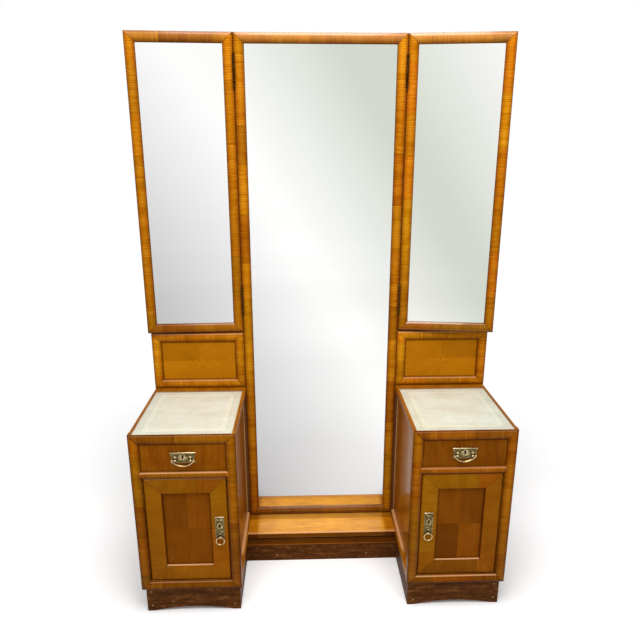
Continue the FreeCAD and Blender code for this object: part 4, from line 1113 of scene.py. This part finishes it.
def rolled_edge(middle_x, level, length, radius):
    """A bead along the top of a plate, drawn in at its ends."""
    begin(bpy.ops.mesh.primitive_cylinder_add, vertices=20, radius=radius, depth=length, rotation=FACING_SIDE,
          location=(middle_x, PLATE_FRONT, level))
    for way in (-1, 1):
        face_x = middle_x + way * length / 2
        pick(lambda place: abs(place.x - face_x) < HAIR)
        pull_out((way * radius * BEAD_END[0], 0, 0))
        squeeze((1, BEAD_END[1], BEAD_END[1]), (face_x, PLATE_FRONT, level))
    return end()


def oval_boss(middle_x, level, width, height):
    """A raised oval with a stepped edge."""
    back = PLATE_FRONT + BOSS_SUNK
    begin(bpy.ops.mesh.primitive_cylinder_add, (width, height, BOSS_RISE), vertices=40, radius=0.5, depth=1,
          rotation=FACING_FRONT, location=(middle_x, back - BOSS_RISE / 2, level))
    pick(lambda place: place.y < back - BOSS_RISE + HAIR)
    for share, rise in BOSS_STEPS:
        bpy.ops.mesh.inset(thickness=width * share, depth=rise)
    return end()


def stud(place, radius, flatness):
    """A cast ball on a stepped collar."""
    begin(bpy.ops.mesh.primitive_uv_sphere_add, (1, 1, flatness), segments=24, ring_count=14, radius=radius,
          location=place, rotation=FACING_FRONT)
    base = place[1] + radius * BALL_SUNK
    saw((0, base, 0), (0, 1, 0), "outer")
    pick(lambda point: point.y > base - HAIR)
    pull_out((0, COLLAR_STEP, 0))
    squeeze((COLLAR_SPREAD, 1, COLLAR_SPREAD), (place[0], base, place[2]))
    pull_out((0, COLLAR_DEPTH, 0))
    face_out()
    return end()


def eye(middle, radius, width):
    """A short knuckle standing out from a plate, in which a bail or a ring turns."""
    begin(bpy.ops.mesh.primitive_cylinder_add, vertices=28, radius=radius, depth=width, rotation=FACING_SIDE,
          location=middle)
    for way in (-1, 1):
        face_x = middle[0] + way * width / 2
        pick(lambda place: abs(place.x - face_x) < HAIR)
        for share, rise in EYE_RIMS:
            bpy.ops.mesh.inset(thickness=radius * share, depth=rise)
    return end()


def keyhole(plate, middle_x, level):
    """Cuts a round hole and the slot below it through a plate or what stands on it."""
    cut_away(plate, primitive(bpy.ops.mesh.primitive_cylinder_add, vertices=28, radius=KEY_RADIUS,
                              depth=CUTTER, rotation=FACING_FRONT, location=(middle_x, PLATE_FRONT, level)))
    cut_away(plate, block((middle_x - KEY_SLOT / 2, PLATE_FRONT - CUTTER / 2, level - KEY_DROP),
                          (middle_x + KEY_SLOT / 2, PLATE_FRONT + CUTTER / 2, level)))


def key_plate(middle_x, z_span, width, waists, rim, boss, key, lip, lip_radius):
    """A plate and its oval boss, with a keyhole through both, and the rolled top edge."""
    pierced = [plate_blank(middle_x, *z_span, width, waists, rim), oval_boss(middle_x, *boss)]
    for piece in pierced:
        keyhole(piece, middle_x, key)
    return pierced + [rolled_edge(middle_x, lip, width, lip_radius)]


def pair(name, members, softening, middle_x, node, body, finish):
    """Glues up a right-hand fitting, copies it to the left, and lets each stand for its own node."""
    cast = glued(f"{name}_right", members, softening)
    twin = copied(cast, f"{name}_left", (-2 * middle_x, 0, 0))
    for piece, side in ((cast, "right"), (twin, "left")):
        stand_for(piece, f"{node}_{side}", f"{body}_{side}", finish)


brass = plate_brass("pull_brass")
fittings = key_plate(PULL_X, PULL_Z, PULL_WIDTH, PULL_WAISTS, PULL_RIM, PULL_BOSS, PULL_KEY, PULL_LIP,
                     LIP_RADIUS)
for hand in (-1, 1):
    fittings.append(stud((PULL_X + hand * PULL_STUD[0], *PULL_STUD[1:]), *STUD_SIZE))
    fittings.append(eye((PULL_X + hand * PULL_STUD[0], BAIL_Y, BAIL_Z), *BAIL_EYE))
    fittings.append(stud((PULL_X + hand * PULL_PIN[0], *PULL_PIN[1:]), *PIN_SIZE))
pair("drawer_pull_cast", fittings, CAST_EDGE, PULL_X, "drawer_pull_plate", "drawer", brass)

bend = (BAIL_SPAN ** 2 + BAIL_DROP ** 2) / (2 * BAIL_DROP)
begin(bpy.ops.mesh.primitive_torus_add, major_segments=72, minor_segments=16, major_radius=bend,
      minor_radius=BAIL_WIRE, location=(PULL_X, BAIL_Y, BAIL_Z - BAIL_DROP + bend), rotation=FACING_FRONT)
saw((0, 0, BAIL_Z), (0, 0, 1), "outer")
bail = [end()]
for hand in (-1, 1):
    begin(bpy.ops.mesh.primitive_uv_sphere_add, segments=20, ring_count=12, radius=TIP_RADIUS,
          location=(PULL_X + hand * BAIL_SPAN, BAIL_Y, BAIL_Z))
    cut_x = PULL_X + hand * (BAIL_SPAN - BAIL_WIRE)
    saw((cut_x, 0, 0), (-hand, 0, 0), "outer")
    pick(lambda place: abs(place.x - cut_x) < HAIR)
    pull_out((-hand * TIP_STEP, 0, 0))
    squeeze((1, TIP_NECK, TIP_NECK), (cut_x, BAIL_Y, BAIL_Z))
    pull_out((-hand * TIP_REACH, 0, 0))
    bail.append(end())
handle_brass = old_brass("bail_brass", stain(100, 80, 48), stain(206, 180, 130), 0.2, 0.1)
pair("drawer_bail_cast", bail, WIRE_EDGE, PULL_X, "drawer_bail", "bail", handle_brass)


# Doors. Mitred frames rounded along the outer edge, round a sunk panel of four matched veneers laid light
# and dark like a chequer; each turns on steel pins let into the top and bottom edges.
DOOR_MEMBER = 0.053
# Strength of the painted highlight along each door's top rail.
DOOR_TOP_HIGHLIGHT = {"left": 0.6, "right": 0.1}
DOOR_TONES = {"left": (0.305, 0.30, 0.328, 0.265), "right": (0.22, 0.36, 0.31, 0.265)}
for side, seed in (("left", 120.0), ("right", 131.0)):
    low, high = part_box(f"door_frame_{side}")
    x_span, z_span = spans((low, high))
    # Painted shade darker towards the foot and at the edges, painted highlights on the top rail and on the
    # lip of the sunk panel, and a painted shadow in the key slot.
    dress(f"door_frame_{side}", banded_veneer(
        f"door_veneer_{side}", x_span, z_span, low.y, seed=seed, strip=0.26, tone=0.46, foot_tone=0.42,
        hue=0.494, figure=0.6, ripple=0.03, width=DOOR_MEMBER, edge_shade=0.3, reach=0.003, highlight=0.0,
        top_highlight=DOOR_TOP_HIGHLIGHT[side], drop=-0.002, slot=(DOOR_PLATE_X, DOOR_KEY, KEY_CUT_DROP), lip=0.75,
        depth=high.y - low.y))
    opening = (inside(sorted(map(abs, x_span)), DOOR_MEMBER), inside(z_span, DOOR_MEMBER))
    dress(f"door_panel_{side}", quartered_veneer(
        f"door_quarters_{side}", seed + 5, opening, math.radians(90), DOOR_TONES[side], 0.0,
        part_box(f"door_panel_{side}")[1].y, 0.487))


# Door plates. An upright casting with a rolled top edge, three fine ribs, an oval boss round the keyhole
# and a ball at the foot, from which a plain ring hangs.
DOOR_PLATE_Z = (0.2855, 0.3605)
DOOR_PLATE_WIDTH = 0.028
DOOR_WAISTS = (1.0, 0.98, 0.97, 0.96, 0.96, 0.97, 0.98, 1.0)
DOOR_BOSS = (0.3275, 0.0185, 0.026)
DOOR_RIBS = ((0.3530, 0.0225), (0.3495, 0.0225), (0.3080, 0.0205))
RIB_RADIUS = 0.0009
DOOR_RIM = 0.0017
DOOR_LIP_RADIUS = 0.0013
DOOR_STUD = (PLATE_FRONT - 0.0006, 0.3015)
DOOR_STUD_SIZE = (0.0028, 0.8)
DOOR_PIN = (PLATE_FRONT - 0.0004, 0.3440)
BALL_SIZE = (0.0039, 1.0)
RING_EYE = (0.0036, 0.003)
RING_Y = -0.1894
RING_Z = 0.2895
RING_BEND = 0.0126
RING_WIRE = 0.0019
RING_DROP = 0.0130
RING_FOOT = 0.0215
RING_SEAT = 0.0012
RING_SAG = 0.0006
SAG_REACH = 0.012
fittings = key_plate(DOOR_PLATE_X, DOOR_PLATE_Z, DOOR_PLATE_WIDTH, DOOR_WAISTS, DOOR_RIM, DOOR_BOSS, DOOR_KEY,
                     DOOR_LIP, DOOR_LIP_RADIUS)
fittings += [rolled_edge(DOOR_PLATE_X, level, length, RIB_RADIUS) for level, length in DOOR_RIBS]
fittings += [
    stud((DOOR_PLATE_X, RING_Y, RING_Z), *BALL_SIZE),
    stud((DOOR_PLATE_X, *DOOR_STUD), *DOOR_STUD_SIZE),
    stud((DOOR_PLATE_X, *DOOR_PIN), *PIN_SIZE),
    eye((DOOR_PLATE_X, RING_Y + RING_SEAT, RING_Z), *RING_EYE),
]
pair("door_plate_cast", fittings, CAST_EDGE, DOOR_PLATE_X, "door_plate", "door", brass)

begin(bpy.ops.mesh.primitive_torus_add, major_segments=64, minor_segments=16, major_radius=RING_BEND,
      minor_radius=RING_WIRE, location=(DOOR_PLATE_X, RING_Y, RING_Z - RING_DROP), rotation=FACING_FRONT)
pick(lambda place: place.z < RING_Z - RING_FOOT)
bpy.ops.transform.translate(value=(0, 0, -RING_SAG), use_proportional_edit=True,
                            proportional_edit_falloff="SMOOTH", proportional_size=SAG_REACH)
pair("door_ring_cast", [end()], WIRE_EDGE, DOOR_PLATE_X, "door_ring", "ring", handle_brass)


# Locks. Small steel cases screwed behind the drawer fronts and the doors, with a sliding bolt in each. The
# doors' pivot pins are of the same steel.
steel = filed_steel("lock_steel_filed", stain(112, 112, 110), stain(168, 168, 164))
dress("door_pivot_pins", steel)
for side in ("left", "right"):
    for node in ("drawer_lock", "drawer_bolt", "door_lock", "door_bolt"):
        dress(f"{node}_{side}", steel)


# Studio. A pale plain floor, soft light from all round, a large soft lamp above the front and a camera
# at the height of a standing person's chest.
FLOOR_GLOW = ((0.06, (0.12, 0.12, 0.12, 1.0)), (0.5, (0.745, 0.745, 0.745, 1.0)), (0.2, (0.5, 0.5, 0.5, 1.0)))
GLOW_REACH = 10
SKY_LOW = 0.27
bpy.ops.mesh.primitive_plane_add(size=30, location=(0, 0, -0.0005))
floor = bpy.context.object
floor.name = "studio_floor"
# The floor glows, though it is no lamp: faintly near the middle and more further out, so that far off it
# shows white.
pale, paint, (x, y, z) = finish_called("studio_pale")
drift = noise(paint, x * 0.7, y * 0.7, z, 1.0)
spread = paint.maths("SQRT", x * x + y * y)
surface(paint, Base_Color=drift.ramp((0.3, stain(246, 246, 246)), (0.7, stain(249, 249, 249))), Roughness=0.9,
        Specular_Ior_Level=0.1, Emission_Color=(spread / GLOW_REACH).ramp(*FLOOR_GLOW), Emission_Strength=1.0)
floor.data.materials.append(pale)

scene = bpy.context.scene
scene.view_settings.view_transform = "Standard"
world = bpy.data.worlds.new("studio_light")
world.use_nodes = True
sky = Wire(world.node_tree)
rays = sky.node("ShaderNodeLightPath", {}, {}, "Is Camera Ray")
glints = sky.node("ShaderNodeLightPath", {}, {}, "Is Singular Ray")
strength = rays.most(glints) * (1 - SKY_LOW) + SKY_LOW
sky.fill(world.node_tree.nodes["Background"], {"Color": (1.0, 1.0, 1.0, 1.0), "Strength": strength})
scene.world = world

bpy.ops.object.light_add(type="AREA", location=(0.0, -1.2, 3.3), rotation=(math.atan2(1.1, 2.5), 0, 0))
lamp = bpy.context.object
lamp.name = "soft_top"
lamp.data.size = 2.0
lamp.data.energy = 115

bpy.ops.object.camera_add(location=(-0.0673, -1.7640, 1.4462),
                          rotation=(math.pi / 2 - 0.2788, 0, -0.0331))
camera = bpy.context.object
camera.data.sensor_width = 36
camera.data.lens = 32.74
scene.camera = camera
